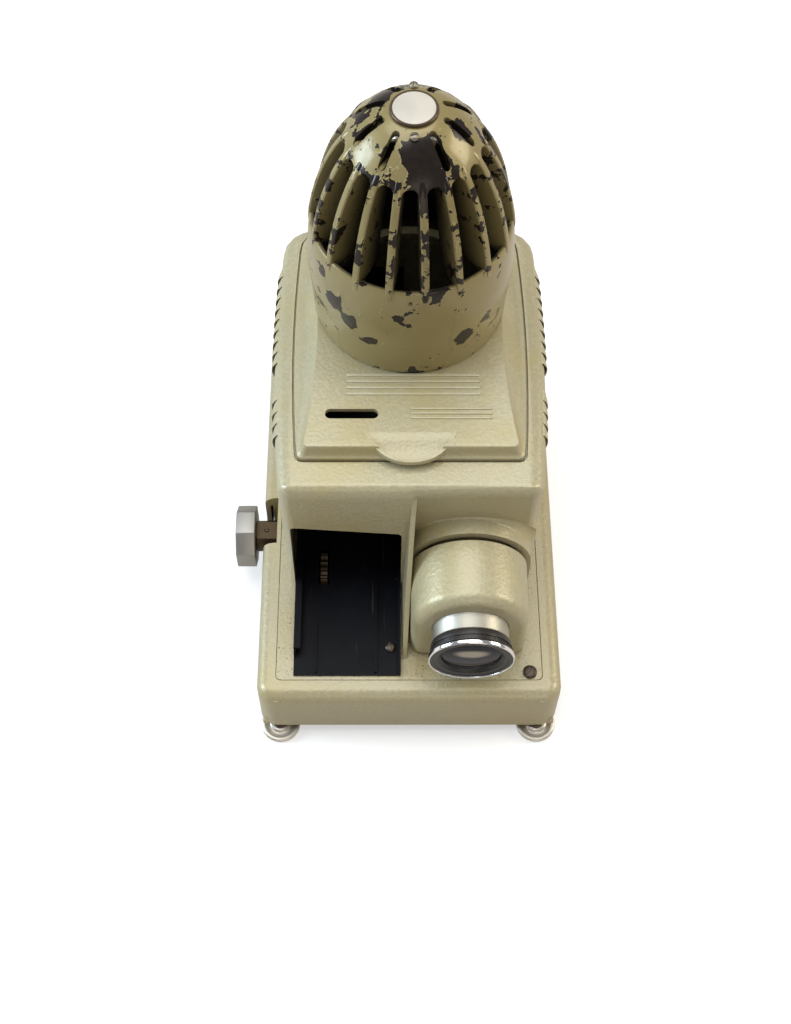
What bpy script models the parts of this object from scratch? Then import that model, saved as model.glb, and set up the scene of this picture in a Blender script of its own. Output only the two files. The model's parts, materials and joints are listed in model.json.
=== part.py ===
"""Automatic slide projector: cast base, lamp house, lens carriage, finned chimney, slide changer and lamp."""

import math

import bmesh
import bpy
from mathutils import Matrix, Vector

# Every size is in millimetres and becomes metres in point().
# X runs to the right, Y to the back and Z up from the table.
MM = 0.001
GAP = 0.3  # between touching pieces
CUT = 5.0  # how far a cutter runs past a wall

# Base
BASE_WIDTH = 175.0
BASE_FRONT = -123.5
BASE_BACK = 137.0
BASE_BOTTOM = 9.5
BASE_WALL = 3.0
BASE_CORNER = 10.0
BASE_SHOULDER = 7.0
DECK_TOP = 50.0
DECK_THICK = 2.0
DECK_RIM = 11.2
DECK_FRONT_RIM = 11.5
DECK_LEDGE = 6.0
PLATE_THICK = 1.6
SILL_HEIGHT = 4.0

# Feet
FOOT_SIDE = 11.5
FOOT_INSET = 4.0
FOOT_RADIUS = 11.5
FOOT_DISC = 4.5
FOOT_STEM = 2.5
FOOT_BOSS = 4.0
PAD_RADIUS = 9.0

# Upper housing
HOUSING_TOP = 154.0
HOUSING_BACK = 135.0
HOUSING_INSET = 2.2
HOUSING_BULGE = 4.6
HOUSING_FLARE = 2.5
HOUSING_WALL = 2.5
HOUSING_ROUND = 9.0
HOUSING_FRONT_ROUND = 5.0
HOUSING_CORNER = 18.0
HOUSING_FRONT_CORNER = 7.0
FRONT_LEFT_FOOT = -54.0
FRONT_RIGHT_FOOT = -38.5
FRONT_HEAD = -48.0

# Lid
LID_FRONT = -29.0
LID_BACK = 129.5
LID_GROOVE = 0.8
LID_RIM = 11.4
LID_LEDGE = 5.0
LID_SEAT = 3.0
LID_EDGE = 2.0
LID_PANEL = 9.7
PANEL_WAIST = 52.2
LID_WALL = 2.6
LID_SLOT_LENGTH = 29.0
LID_SLOT_WIDTH = 6.2
LID_SLOT_X = -32.0
LID_SLOT_Y = -5.0
LIP_RADIUS = 26.5
LIP_REACH = 5.0
LIP_DROP = 6.0
LIP_THICK = 2.8
HINGE_RADIUS = 3.4
HINGE_PIN = 1.5
HINGE_X = 40.0
HINGE_WIDTH = 8.0

# Chimney
CHIMNEY_Y = 74.7
CHIMNEY_BASE_RADIUS = 53.7
CHIMNEY_RADIUS = 56.0
CHIMNEY_BAND = 39.0
CHIMNEY_DOME = 107.5
CHIMNEY_WALL = 3.0
DOME_POWER = 0.458
FIN_COUNT = 18
FIN_THICK = 4.0
FIN_DEPTH = 22.0
FIN_PROUD = 0.8
FIN_LOW = 31.0
FIN_HIGH = 87.0
FIN_TURN = -3.0
CROWN_SLOT_WIDTH = 4.2
CROWN_SLOT_INNER = 15.0
CROWN_SLOT_OUTER = 31.0
BADGE_RADIUS = 12.0
BADGE_THICK = 1.6
SCREW_HEAD = 2.3

# Slide magazine channel
CHANNEL_WIDTH = 62.0
CHANNEL_HEIGHT = 61.0
MOUTH_RISE = 6.0
CHANNEL_FRONT = -109.6
TRAY_SHEET = 1.2
TRAY_WALL = 8.0
TRAY_FLANGE = 4.0
SLIDE_SIZE = 50.0
SLIDE_Y = 25.0
SLIDE_SLOT = 5.6
DIVIDER_THICK = 2.6
DIVIDER_FRONT = -99.0

# Lens and its carriage
OPTIC_RISE = 35.0
COWL_RADIUS = 33.0
COWL_FRONT = -96.0
COWL_ROUND = 7.0
HOOD_WALL = 2.6
HOOD_FRONT = -55.0
HOOD_GAP = 2.6
BARREL_RADIUS = 21.25
BARREL_WALL = 3.25
BARREL_REACH = 17.0
BARREL_BACK = -34.0
SLEEVE_WALL = 3.45
SLEEVE_BACK = 2.0
GRIP_PROUD = 1.75
GRIP_LENGTH = 7.5
RIM_PROUD = 2.75
RIM_LENGTH = 2.6
FOCUS_TRAVEL = 12.0

# Focus drive
KNOB_RADIUS = 19.0
KNOB_LENGTH = 11.7
KNOB_GAP = 5.3
HUB_RADIUS = 9.5
SHAFT_RADIUS = 3.0
SHAFT_Y = -7.5
SHAFT_Z = 30.0
NOTCH_RADIUS = 15.5
NOTCH_DEPTH = 8.5
MODULE = 1.2
PINION_TEETH = 12
RACK_OFFSET = 13.7
RACK_WIDTH = 8.0
LUG_FRONT = -20.0
LUG_DROP = 2.0

# Slide changer
CHANGER_X = 3.0
CHANGER_Y = 34.0
CHANGER_Z = 22.0
ROD_RADIUS = 2.5
ROD_Y = 40.5
ROD_Z = 40.0
WHEEL_RADIUS = 14.0
WHEEL_X = -50.0
WHEEL_Y = -40.0
WHEEL_PROUD = 2.2

# Lamp house
LAMP_Y = 92.0
LAMP_RADIUS = 15.0
CONDENSER_RADIUS = 25.0
FAN_RADIUS = 28.0
FAN_HOLE = 31.0
FAN_MOTOR_RADIUS = 18.0

# Rear panel
PANEL_Z = 28.0
BUTTON_PROUD = 5.0

SLEEVE_RADIUS = BARREL_RADIUS + GAP + SLEEVE_WALL
GRIP_RADIUS = BARREL_RADIUS + GRIP_PROUD
RIM_RADIUS = BARREL_RADIUS + RIM_PROUD
BARREL_BORE = BARREL_RADIUS - BARREL_WALL
BASE_HALF = BASE_WIDTH / 2
DECK_HALF = BASE_HALF - DECK_RIM
DECK_FRONT = BASE_FRONT + DECK_FRONT_RIM
DECK_BACK = BASE_BACK - DECK_RIM
HOUSING_FOOT_HALF = DECK_HALF - HOUSING_INSET
PLATE_TOP = BASE_BOTTOM + 0.5 + PLATE_THICK
PINION_RADIUS = MODULE * PINION_TEETH / 2
LID_TOP = HOUSING_TOP + LID_PANEL
CHIMNEY_BASE = LID_TOP + GAP
BAND_TOP = CHIMNEY_BASE + CHIMNEY_BAND
CHANNEL_LEFT = -HOUSING_FOOT_HALF + HOUSING_BULGE + HOUSING_WALL + 0.4
CHANNEL_RIGHT = CHANNEL_LEFT + CHANNEL_WIDTH
OPTIC_X = HOUSING_FOOT_HALF - HOUSING_BULGE - COWL_RADIUS - HOOD_WALL - 0.2
OPTIC_Z = DECK_TOP + OPTIC_RISE
RACK_X = OPTIC_X - RACK_OFFSET
LUG_LOW = OPTIC_Z - SLEEVE_RADIUS - LUG_DROP
HINGE_Y = LID_BACK + HINGE_RADIUS - 0.4
HINGE_Z = HOUSING_TOP + HINGE_RADIUS + GAP
KNOB_INNER = -BASE_HALF - KNOB_GAP
TRAY_TOP = DECK_TOP + GAP + TRAY_SHEET
BAR_FRONT = COWL_FRONT - BARREL_REACH
PUSHER_X = CHANNEL_LEFT + 4.0
MIDDLE_X = (KNOB_INNER - KNOB_LENGTH + BASE_HALF) / 2
MIDDLE_Y = (BASE_FRONT + FOOT_INSET - FOOT_RADIUS + BASE_BACK + BUTTON_PROUD) / 2


def point(x, y, z):
    return Vector((x, y, z)) * MM


# Materials


def material(name, colour, roughness, metallic=0.0):
    made = bpy.data.materials.get(name)
    if made:
        return made
    made = bpy.data.materials.new(name)
    made.use_nodes = True
    shader = made.node_tree.nodes["Principled BSDF"]
    shader.inputs["Base Color"].default_value = (*colour, 1.0)
    shader.inputs["Roughness"].default_value = roughness
    shader.inputs["Metallic"].default_value = metallic
    made.diffuse_color = (*colour, 1.0)
    return made


def hammertone():
    return material("hammertone_enamel", (0.53, 0.51, 0.38), 0.38, 0.35)


def cream_enamel():
    return material("cream_enamel", (0.46, 0.42, 0.28), 0.42, 0.1)


def black_enamel():
    return material("black_enamel", (0.012, 0.012, 0.016), 0.45)


def aluminium():
    return material("aluminium", (0.72, 0.72, 0.74), 0.3, 1.0)


def chrome():
    return material("chrome", (0.85, 0.85, 0.87), 0.12, 1.0)


def steel():
    return material("steel", (0.42, 0.42, 0.43), 0.35, 1.0)


def blackened_steel():
    return material("blackened_steel", (0.05, 0.045, 0.04), 0.4, 0.8)


def brass():
    return material("brass", (0.72, 0.48, 0.2), 0.3, 1.0)


def rubber():
    return material("rubber", (0.02, 0.02, 0.02), 0.8)


def bakelite():
    return material("bakelite", (0.03, 0.02, 0.018), 0.35)


def ceramic():
    return material("ceramic", (0.78, 0.75, 0.68), 0.5)


def glass():
    return material("glass", (0.8, 0.86, 0.88), 0.05)


# Building blocks


def finish(name, bm, paint=None, parent=None, sharp=35.0):
    """The bmesh as an object that faces outwards."""
    bmesh.ops.recalc_face_normals(bm, faces=bm.faces)
    mesh = bpy.data.meshes.new(name)
    bm.to_mesh(mesh)
    bm.free()
    mesh.shade_smooth()
    mesh.set_sharp_from_angle(angle=math.radians(sharp))
    made = bpy.data.objects.new(name, mesh)
    bpy.context.scene.collection.objects.link(made)
    if paint:
        mesh.materials.append(paint)
    made.parent = parent or ROOT
    if parent:
        made.matrix_parent_inverse = Matrix.Translation(-parent.location)
    return made


def loft(name, rings, paint=None, parent=None, around=False, sharp=35.0):
    """Rings of (x, y, z) points joined by faces; around closes the last ring onto the first."""
    bm = bmesh.new()
    loops = [[bm.verts.new(point(*place)) for place in ring] for ring in rings]
    pairs = list(zip(loops, loops[1:]))
    if around:
        pairs.append((loops[-1], loops[0]))
    else:
        bm.faces.new(loops[0])
        bm.faces.new(loops[-1])
    for low, high in pairs:
        for i in range(len(low)):
            j = (i + 1) % len(low)
            bm.faces.new((low[i], low[j], high[j], high[i]))
    return finish(name, bm, paint, parent, sharp)


def placed(axis, along, u, v):
    """A point at a distance along an axis, with u and v across it."""
    return {"X": (along, u, v), "Y": (u, along, v), "Z": (u, v, along)}[axis]


def prism(name, axis, outline, start, end, paint=None, parent=None):
    rings = [[placed(axis, along, u, v) for u, v in outline] for along in (start, end)]
    return loft(name, rings, paint, parent)


def box(name, low, high, paint=None, parent=None):
    outline = [(low[0], low[1]), (high[0], low[1]), (high[0], high[1]), (low[0], high[1])]
    return prism(name, "Z", outline, low[2], high[2], paint, parent)


def circle(u, v, radius, steps=24, start=0.0, sweep=360.0):
    """Points round a circle, or along an arc with both its ends."""
    last = steps if sweep == 360.0 else steps - 1
    angles = [math.radians(start + sweep * i / last) for i in range(steps)]
    return [(u + radius * math.cos(a), v + radius * math.sin(a)) for a in angles]


def cylinder(name, axis, centre, radius, start, end, paint=None, parent=None, steps=20):
    return prism(name, axis, circle(*centre, radius, steps), start, end, paint, parent)


def turned(name, axis, centre, profile, paint=None, parent=None, steps=24, around=False):
    """A turned piece: profile holds (radius, distance along the axis). around makes a ring with a bore."""
    rings = [
        [placed(axis, along, u, v) for u, v in circle(*centre, radius, steps)]
        for radius, along in profile
    ]
    return loft(name, rings, paint, parent, around)


def ring(name, axis, centre, outer, inner, start, end, paint=None, parent=None, steps=32):
    profile = [(outer, start), (outer, end), (inner, end), (inner, start)]
    return turned(name, axis, centre, profile, paint, parent, steps, around=True)


def rounded(x0, x1, y0, y1, radius, steps=4):
    """A rectangle with round corners, anticlockwise from its lower right."""
    corners = ((x1, y0, -90.0, -1, 1), (x1, y1, 0.0, -1, -1), (x0, y1, 90.0, 1, -1), (x0, y0, 180.0, 1, 1))
    points = []
    for x, y, start, dx, dy in corners:
        points += circle(x + dx * radius, y + dy * radius, radius, steps, start, 90.0)
    return points


def boolean(target, tool, operation):
    tool.hide_render = True
    tool.display_type = "WIRE"
    modifier = target.modifiers.new(tool.name, "BOOLEAN")
    modifier.operation = operation
    modifier.solver = "EXACT"
    modifier.object = tool


def cut(target, *tools):
    for tool in tools:
        boolean(target, tool, "DIFFERENCE")


def weld(target, *tools):
    for tool in tools:
        boolean(target, tool, "UNION")


def pivot(name, x, y, z):
    """An empty on a joint's axis."""
    made = bpy.data.objects.new(name, None)
    made.location = point(x, y, z)
    made.empty_display_size = 0.01
    made.parent = ROOT
    bpy.context.scene.collection.objects.link(made)
    return made


def slotted_head(name, axis, centre, start, end, radius, paint, parent=None):
    """A round screw with a shank under its head and a driver slot; end is the head's outer face."""
    out = 1 if end > start else -1
    under = end - out * 1.6
    shank = radius * 0.5
    profile = [
        (shank, start), (shank, under), (radius, under), (radius, end - out * 0.5), (radius * 0.8, end)
    ]
    made = turned(name, axis, centre, profile, paint, parent, steps=12)
    u, v = centre
    reach = radius * 1.5
    half = radius * 0.16
    slot = rounded(u - reach, u + reach, v - half, v + half, half * 0.5, 2)
    cut(made, prism(name + "_slot", axis, slot, end - out * 0.8, end + out * 1.0, parent=parent))
    return made


# Base


def base_outline(inset):
    radius = max(BASE_CORNER - inset, 2.0)
    half = BASE_HALF - inset
    return rounded(-half, half, BASE_FRONT + inset, BASE_BACK - inset, radius, 5)


def deck_outline(inset):
    half = DECK_HALF - inset
    return rounded(-half, half, DECK_FRONT + inset, DECK_BACK - inset, 3.0, 5)


def at_height(outline, z):
    return [(x, y, z) for x, y in outline]


def base_casting():
    """The open cast box: walls, a rounded shoulder, and a stepped rim that the deck plate lies in."""
    rings = [at_height(base_outline(0.0), BASE_BOTTOM)]
    for i in range(4):
        angle = math.radians(90.0 * i / 3)
        inset = BASE_SHOULDER * (1 - math.cos(angle))
        rings.append(at_height(base_outline(inset), DECK_TOP - BASE_SHOULDER * (1 - math.sin(angle))))
    seat = DECK_TOP - DECK_THICK - GAP
    rings.append(at_height(deck_outline(-GAP), DECK_TOP))
    rings.append(at_height(deck_outline(-GAP), seat))
    rings.append(at_height(deck_outline(DECK_LEDGE), seat))
    rings.append(at_height(deck_outline(DECK_LEDGE), seat - 2.7))
    rings.append(at_height(base_outline(BASE_WALL), seat - BASE_SHOULDER))
    rings.append(at_height(base_outline(BASE_WALL), BASE_BOTTOM))
    made = loft("base_casting", rings, hammertone(), around=True)
    inner = BASE_HALF - BASE_WALL
    foot_y = BASE_FRONT + FOOT_INSET
    sill_back = foot_y + FOOT_BOSS + 1.0
    sill = box(
        "front_sill",
        (-inner - 1, BASE_FRONT + 1, BASE_BOTTOM),
        (inner + 1, sill_back, BASE_BOTTOM + SILL_HEIGHT),
    )
    floor = -BASE_HALF + NOTCH_DEPTH
    block = box(
        "knob_wall",
        (floor - 4, SHAFT_Y - NOTCH_RADIUS - 4, 12.0),
        (floor + 3.5, SHAFT_Y + NOTCH_RADIUS + 4, DECK_TOP - 4),
    )
    weld(made, sill, block)
    for side in (-1, 1):
        x = side * (BASE_HALF - FOOT_SIDE)
        weld(
            made,
            cylinder(f"foot_boss_{side}", "Z", (x, foot_y), FOOT_BOSS, BASE_BOTTOM, DECK_TOP - 5, steps=16),
        )
        cut(
            made,
            cylinder(f"foot_hole_{side}", "Z", (x, foot_y), FOOT_STEM + GAP, 0.0, DECK_TOP - 8, steps=16),
        )
        rod_boss = cylinder(
            f"rod_boss_{side}",
            "X",
            (ROD_Y, ROD_Z),
            ROD_RADIUS + 2,
            side * (inner - 5),
            side * (inner + 1),
        )
        weld(made, rod_boss)
        rod_hole = cylinder(
            f"rod_hole_{side}",
            "X",
            (ROD_Y, ROD_Z),
            ROD_RADIUS + GAP,
            side * (inner - 9),
            side * (inner - 1),
        )
        cut(made, rod_hole)
        for y in plate_screw_rows():
            x = side * (inner - 3.5)
            weld(
                made,
                cylinder(
                    f"plate_boss_{side}_{y:.0f}",
                    "Z",
                    (x, y),
                    4.0,
                    PLATE_TOP + GAP,
                    DECK_TOP - 5,
                    steps=16,
                ),
            )
            hole = cylinder(f"plate_hole_{side}_{y:.0f}", "Z", (x, y), 1.7, 5.0, PLATE_TOP + 10, steps=12)
            cut(made, hole)
    weld(
        made,
        cylinder("deck_screw_boss", "Z", deck_screw_place(), 5.0, DECK_TOP - 12, DECK_TOP - 3, steps=16),
    )
    cut(
        made,
        cylinder("deck_screw_thread", "Z", deck_screw_place(), 2.4, DECK_TOP - 10, DECK_TOP + CUT, steps=12),
    )
    notch = circle(SHAFT_Y, SHAFT_Z, NOTCH_RADIUS, 15, 180.0, 180.0)
    notch += [(SHAFT_Y + NOTCH_RADIUS, DECK_TOP + CUT), (SHAFT_Y - NOTCH_RADIUS, DECK_TOP + CUT)]
    cut(made, prism("knob_notch", "X", notch, -BASE_HALF - CUT, floor))
    cut(made, cylinder("bush_hole", "X", (SHAFT_Y, SHAFT_Z), SHAFT_RADIUS + 2, floor - CUT, floor + CUT))
    for name, x, width, height in panel_items():
        across = width / 2 + GAP
        up = height / 2 + GAP
        hole = rounded(x - across, x + across, PANEL_Z - up, PANEL_Z + up, 1.0, 3)
        if name == "advance_button":
            hole = circle(x, PANEL_Z, width / 2)
        cut(made, prism(name + "_hole", "Y", hole, BASE_BACK - BASE_WALL - CUT, BASE_BACK + CUT))
    return made


def plate_screw_rows():
    return (BASE_FRONT + 26.0, BASE_BACK - 10.0)


def panel_items():
    """Name, place across, and body size of what sits in the back wall."""
    return (
        ("mains_inlet", 52.0, 26.0, 18.0),
        ("power_switch", 18.0, 14.0, 20.0),
        ("remote_socket", -12.0, 14.0, 14.0),
        ("advance_button", -40.0, 12.0, 12.0),
    )


def base_plate():
    inner = BASE_HALF - BASE_WALL - GAP
    front = BASE_FRONT + FOOT_INSET + FOOT_BOSS + 1.0 + GAP
    outline = rounded(-inner, inner, front, BASE_BACK - BASE_WALL - GAP, 6.5, 5)
    made = prism("base_plate", "Z", outline, PLATE_TOP - PLATE_THICK, PLATE_TOP, black_enamel())
    for side in (-1, 1):
        for y in plate_screw_rows():
            x = side * (BASE_HALF - BASE_WALL - 3.5)
            cut(
                made,
                cylinder(f"plate_clear_{side}_{y:.0f}", "Z", (x, y), 1.9, 5.0, PLATE_TOP + CUT, steps=12),
            )
    for i in range(7):
        y = LAMP_Y + 8.0 * (i - 3)
        vent = rounded(OPTIC_X - 26, OPTIC_X + 26, y - 1.6, y + 1.6, 1.5, 3)
        if abs(i - 3) > 2:
            cut(made, prism(f"vent_{i}", "Z", vent, 5.0, PLATE_TOP + CUT))
    return made


def base_plate_screws():
    for side in (-1, 1):
        for end, y in zip(("front", "rear"), plate_screw_rows()):
            hand = "left" if side < 0 else "right"
            x = side * (BASE_HALF - BASE_WALL - 3.5)
            low = PLATE_TOP - PLATE_THICK - GAP - 1.6
            slotted_head(f"base_plate_screw_{end}_{hand}", "Z", (x, y), PLATE_TOP + 8, low, 2.9, steel())


def deck_plate():
    """The flat plate that closes the base: cut for the drives, the fan and the slide pusher."""
    low = DECK_TOP - DECK_THICK
    made = prism("deck_plate", "Z", deck_outline(0.0), low, DECK_TOP, hammertone())
    below = low - CUT
    above = DECK_TOP + CUT
    pusher_end = slide_end() + GAP + 1.5
    slit = box("pusher_slit", (PUSHER_X - 2.5, SLIDE_Y - 2.6, below), (pusher_end, SLIDE_Y + 2.6, above))
    wheel = box("wheel_slot", (WHEEL_X - 3.2, WHEEL_Y - 15, below), (WHEEL_X + 3.2, WHEEL_Y + 15, above))
    half = RACK_WIDTH / 2 + 1
    rack = box(
        "rack_slot",
        (RACK_X - half, LUG_FRONT - FOCUS_TRAVEL - 1.5, below),
        (RACK_X + half, LUG_FRONT + 11.5, above),
    )
    fan = cylinder("fan_hole", "Z", (OPTIC_X, LAMP_Y), FAN_HOLE, below, above, steps=32)
    screw = cylinder("deck_screw_hole", "Z", deck_screw_place(), 2.4, below, above, steps=12)
    channel = cylinder("channel_screw_clear", "Z", channel_screw_place(), 1.8, below, above, steps=12)
    cut(made, slit, wheel, rack, fan, screw, channel)
    return made


def deck_screw_place():
    return DECK_HALF - 7.0, DECK_FRONT + 4.6


def channel_screw_place():
    return CHANNEL_RIGHT - 6.0, CHANNEL_FRONT + 17.0


def slide_end():
    """Where the pusher's face stands when the slide is centred in the gate."""
    return OPTIC_X - SLIDE_SIZE / 2


# Feet


def front_foot(hand, side):
    x = side * (BASE_HALF - FOOT_SIDE)
    y = BASE_FRONT + FOOT_INSET
    lift = pivot(f"foot_{hand}_axis", x, y, 0.0)
    stem = [
        (FOOT_STEM, FOOT_DISC + GAP), (FOOT_STEM + 2, FOOT_DISC + GAP), (FOOT_STEM + 2, BASE_BOTTOM - 1.2)
    ]
    stem += [(FOOT_STEM, BASE_BOTTOM - 1.2), (FOOT_STEM, DECK_TOP - 12)]
    turned(f"foot_screw_{hand}", "Z", (x, y), stem[1:], blackened_steel(), lift, steps=20)
    rim = FOOT_RADIUS
    disc = [
        (rim - 1.2, 0.0),
        (rim, 1.0),
        (rim, 2.4),
        (rim - 1.0, 3.2),
        (rim - 4.2, 2.6),
        (rim - 5.5, FOOT_DISC),
    ]
    turned(f"foot_disc_{hand}", "Z", (x, y), disc, aluminium(), lift, steps=24)


def rear_foot(hand, side):
    x = side * (BASE_HALF - 20.0)
    y = BASE_BACK - 22.0
    top = PLATE_TOP - PLATE_THICK - GAP
    profile = [(PAD_RADIUS - 1.5, 0.0), (PAD_RADIUS, 1.5), (PAD_RADIUS - 0.8, top)]
    turned(f"rear_foot_{hand}", "Z", (x, y), profile, rubber(), steps=24)


# Upper housing


def bulged_half(y, middle, bulge):
    return middle - bulge * ((y - 50.0) / 95.0) ** 2


def housing_outline(z, inset, front_inset):
    """Plan of the housing at a height: bulged sides, and a front that is deeper on the magazine's side."""
    rise = min(max((z - DECK_TOP) / (HOUSING_TOP - DECK_TOP), 0.0), 1.0)
    middle = HOUSING_FOOT_HALF + HOUSING_FLARE * rise - inset
    left_front = FRONT_LEFT_FOOT + (FRONT_HEAD - FRONT_LEFT_FOOT) * rise + front_inset
    right_front = FRONT_RIGHT_FOOT + (FRONT_HEAD - FRONT_RIGHT_FOOT) * rise + front_inset
    step = divider_x(z) - inset
    return plan(middle, left_front, right_front, HOUSING_BACK - inset, step, inset)


def lid_outline(inset):
    middle = HOUSING_FOOT_HALF + HOUSING_FLARE - LID_RIM - inset
    return plan(middle, LID_FRONT + inset, LID_FRONT + inset, LID_BACK - inset, 0.0, inset, 3.5, 14.0)


def plan(
    middle,
    left_front,
    right_front,
    back,
    step,
    inset,
    front_corner=HOUSING_FRONT_CORNER,
    back_corner=HOUSING_CORNER,
):
    """Closed outline from the step in the front: right front, right side, back, left side, left front."""
    near = max(front_corner - inset, 1.0)
    far = max(back_corner - inset, 2.0)
    right = []
    left = []
    for side, front, points in ((1, right_front, right), (-1, left_front, left)):
        start = front + near
        end = back - far
        half = bulged_half(start, middle, HOUSING_BULGE)
        points += [
            (side * (half - near + near * math.sin(a)), start - near * math.cos(a)) for a in quarter(4)
        ]
        for i in range(1, 7):
            y = start + (end - start) * i / 7
            points.append((side * bulged_half(y, middle, HOUSING_BULGE), y))
        half = bulged_half(end, middle, HOUSING_BULGE)
        points += [(side * (half - far + far * math.cos(a)), end + far * math.sin(a)) for a in quarter(5)]
    return [(step + 1.5, right_front)] + right + left[::-1] + [(step - 1.5, left_front)]


def quarter(count):
    return [math.radians(90.0 * i / (count - 1)) for i in range(count)]


def divider_x(z):
    """The dividing fin leans: right at the top, left at the deck."""
    return CHANNEL_RIGHT + 1.9 + 5.2 * (z - DECK_TOP) / (HOUSING_TOP - DECK_TOP)


def upper_housing():
    """The cast lamp house: a shell with a rounded top edge, the lid's seat and a hood for the carriage."""
    low = DECK_TOP + GAP
    shoulder = HOUSING_TOP - HOUSING_ROUND
    rings = [at_height(housing_outline(low, 0.0, 0.0), low)]
    for angle in quarter(5):
        z = shoulder + HOUSING_ROUND * math.sin(angle)
        share = 1 - math.cos(angle)
        rings.append(at_height(housing_outline(z, HOUSING_ROUND * share, HOUSING_FRONT_ROUND * share), z))
    seat = HOUSING_TOP - LID_SEAT - GAP
    rings.append(at_height(lid_outline(-LID_GROOVE), HOUSING_TOP))
    rings.append(at_height(lid_outline(-LID_GROOVE), seat))
    rings.append(at_height(lid_outline(LID_LEDGE), seat))
    rings.append(at_height(lid_outline(LID_LEDGE), seat - HOUSING_WALL))
    under = seat - 5.5
    rings.append(at_height(housing_outline(under, HOUSING_WALL, HOUSING_WALL), under))
    rings.append(at_height(housing_outline(low, HOUSING_WALL, HOUSING_WALL), low))
    made = loft("upper_housing", rings, hammertone(), around=True, sharp=40.0)
    weld(made, lens_hood(), divider())
    for side in (-1, 1):
        for place in (-1, 1):
            x = side * HINGE_X + place * (HINGE_WIDTH / 2 + 3.3)
            weld(
                made,
                knuckle(
                    f"housing_knuckle_{side}_{place}",
                    x,
                    6.0,
                    HOUSING_BACK - 4.5,
                    HOUSING_BACK - 0.5,
                    HOUSING_TOP - 1,
                ),
            )
    bore = cylinder(
        "sleeve_hole",
        "Y",
        (OPTIC_X, OPTIC_Z),
        SLEEVE_RADIUS + GAP,
        FRONT_HEAD - CUT,
        FRONT_RIGHT_FOOT + 12,
        steps=28,
    )
    top = DECK_TOP + CHANNEL_HEIGHT
    mouth = [(CHANNEL_LEFT, 40.0), (CHANNEL_RIGHT, 40.0)]
    mouth += circle(CHANNEL_RIGHT - 3, top - 3, 3.0, 4, 0.0, 90.0)
    mouth += circle(CHANNEL_LEFT + 3, top + MOUTH_RISE - 3, 3.0, 4, 90.0, 90.0)
    cut(made, bore)
    cut(made, prism("front_mouth", "Y", mouth, FRONT_LEFT_FOOT - CUT, FRONT_HEAD + 12.0))
    cut(made, prism("rear_mouth", "Y", mouth, HOUSING_BACK - HOUSING_CORNER - 3.0, HOUSING_BACK + CUT))
    for side in (-1, 1):
        pin = cylinder(
            f"housing_pin_hole_{side}",
            "X",
            (HINGE_Y, HINGE_Z),
            HINGE_PIN + GAP,
            side * 25,
            side * 55,
            steps=16,
        )
        cut(made, pin)
    return made


def arch(radius, foot, steps=17):
    """An upside-down U round the optical axis, down to a foot height, in X and Z."""
    return [(OPTIC_X + radius, foot)] + circle(
        OPTIC_X, OPTIC_Z, radius, steps, 0.0, 180.0
    ) + [(OPTIC_X - radius, foot)]


def lens_hood():
    outer = COWL_RADIUS + HOOD_WALL
    rings = []
    low = DECK_TOP + GAP + 0.3
    back = FRONT_RIGHT_FOOT + 1.0
    for inner in (COWL_RADIUS - 2.0, outer):
        ends = (back, HOOD_FRONT) if inner < outer else (HOOD_FRONT, back)
        for y in ends:
            rings.append([(x, y, z) for x, z in arch(inner, low)])
    bm = bmesh.new()
    loops = [[bm.verts.new(point(*place)) for place in ring_points] for ring_points in rings]
    for first, second in zip(loops, loops[1:] + loops[:1]):
        for i in range(len(first) - 1):
            bm.faces.new((first[i], first[i + 1], second[i + 1], second[i]))
    for i in (0, -1):
        bm.faces.new([loop[i] for loop in loops])
    return finish("lens_hood", bm)


def divider():
    """The thin fin between magazine and lens, from the top edge of the front down to the deck."""
    low = DECK_TOP + GAP
    high = HOUSING_TOP - 7.0
    steps = 7
    edge = []
    for i in range(steps):
        share = i / (steps - 1)
        sag = 7.0 * math.sin(math.pi * share)
        reach = 1 - (1 - share) ** 1.3
        edge.append(
            (
                FRONT_HEAD + 2 + (DIVIDER_FRONT - FRONT_HEAD - 2) * reach + sag,
                high + (low - high) * share - sag * 0.4,
            ),
        )
    outline = edge + [(FRONT_RIGHT_FOOT + 0.8, low), (FRONT_HEAD + 3.5, high - 8.0)]
    half = DIVIDER_THICK / 2
    rings = [[(divider_x(z) + shift, y, z) for y, z in outline] for shift in (-half, half)]
    return loft("divider_fin", rings)


def knuckle(name, x, width, y0, y1, z0):
    """A hinge eye on a foot block."""
    eye = circle(HINGE_Y, HINGE_Z, HINGE_RADIUS, 13, 0.0, 180.0)
    outline = eye + [(y0, z0), (y1, z0)] if y0 < HINGE_Y - HINGE_RADIUS + 1 else eye + [
        (HINGE_Y - HINGE_RADIUS, z0), (y1, z0)
    ]
    return prism(name, "X", outline, x - width / 2, x + width / 2)


def hinge_pins():
    for hand, side in (("left", -1), ("right", 1)):
        start = side * (HINGE_X - HINGE_WIDTH / 2 - 7.5)
        end = side * (HINGE_X + HINGE_WIDTH / 2 + 7.5)
        cylinder(f"hinge_pin_{hand}", "X", (HINGE_Y, HINGE_Z), HINGE_PIN, start, end, steel(), steps=12)


# Lid and chimney


def panel_outline(inset):
    """The lid's raised top: straight sides that run from the front corners to the chimney and round it."""
    front_half = HOUSING_FOOT_HALF + HOUSING_FLARE - LID_RIM - 7.0 - inset
    back_radius = CHIMNEY_BASE_RADIUS + 0.6 - inset
    front = LID_FRONT + 3.0 + inset
    half = [(front_half - 3.0, front)]
    half.append((front_half - 0.8, front + 0.8))
    half.append((front_half, front + 3.0))
    for i in range(1, 6):
        share = i / 6
        y = front + 3.0 + (CHIMNEY_Y - 20.0 - front - 3.0) * share
        half.append((front_half + (PANEL_WAIST - inset - front_half) * (1 - (1 - share) ** 2), y))
    half += [(x, y) for x, y in circle(0.0, CHIMNEY_Y, back_radius, 10, -15.0, 103.0)]
    return half


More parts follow.
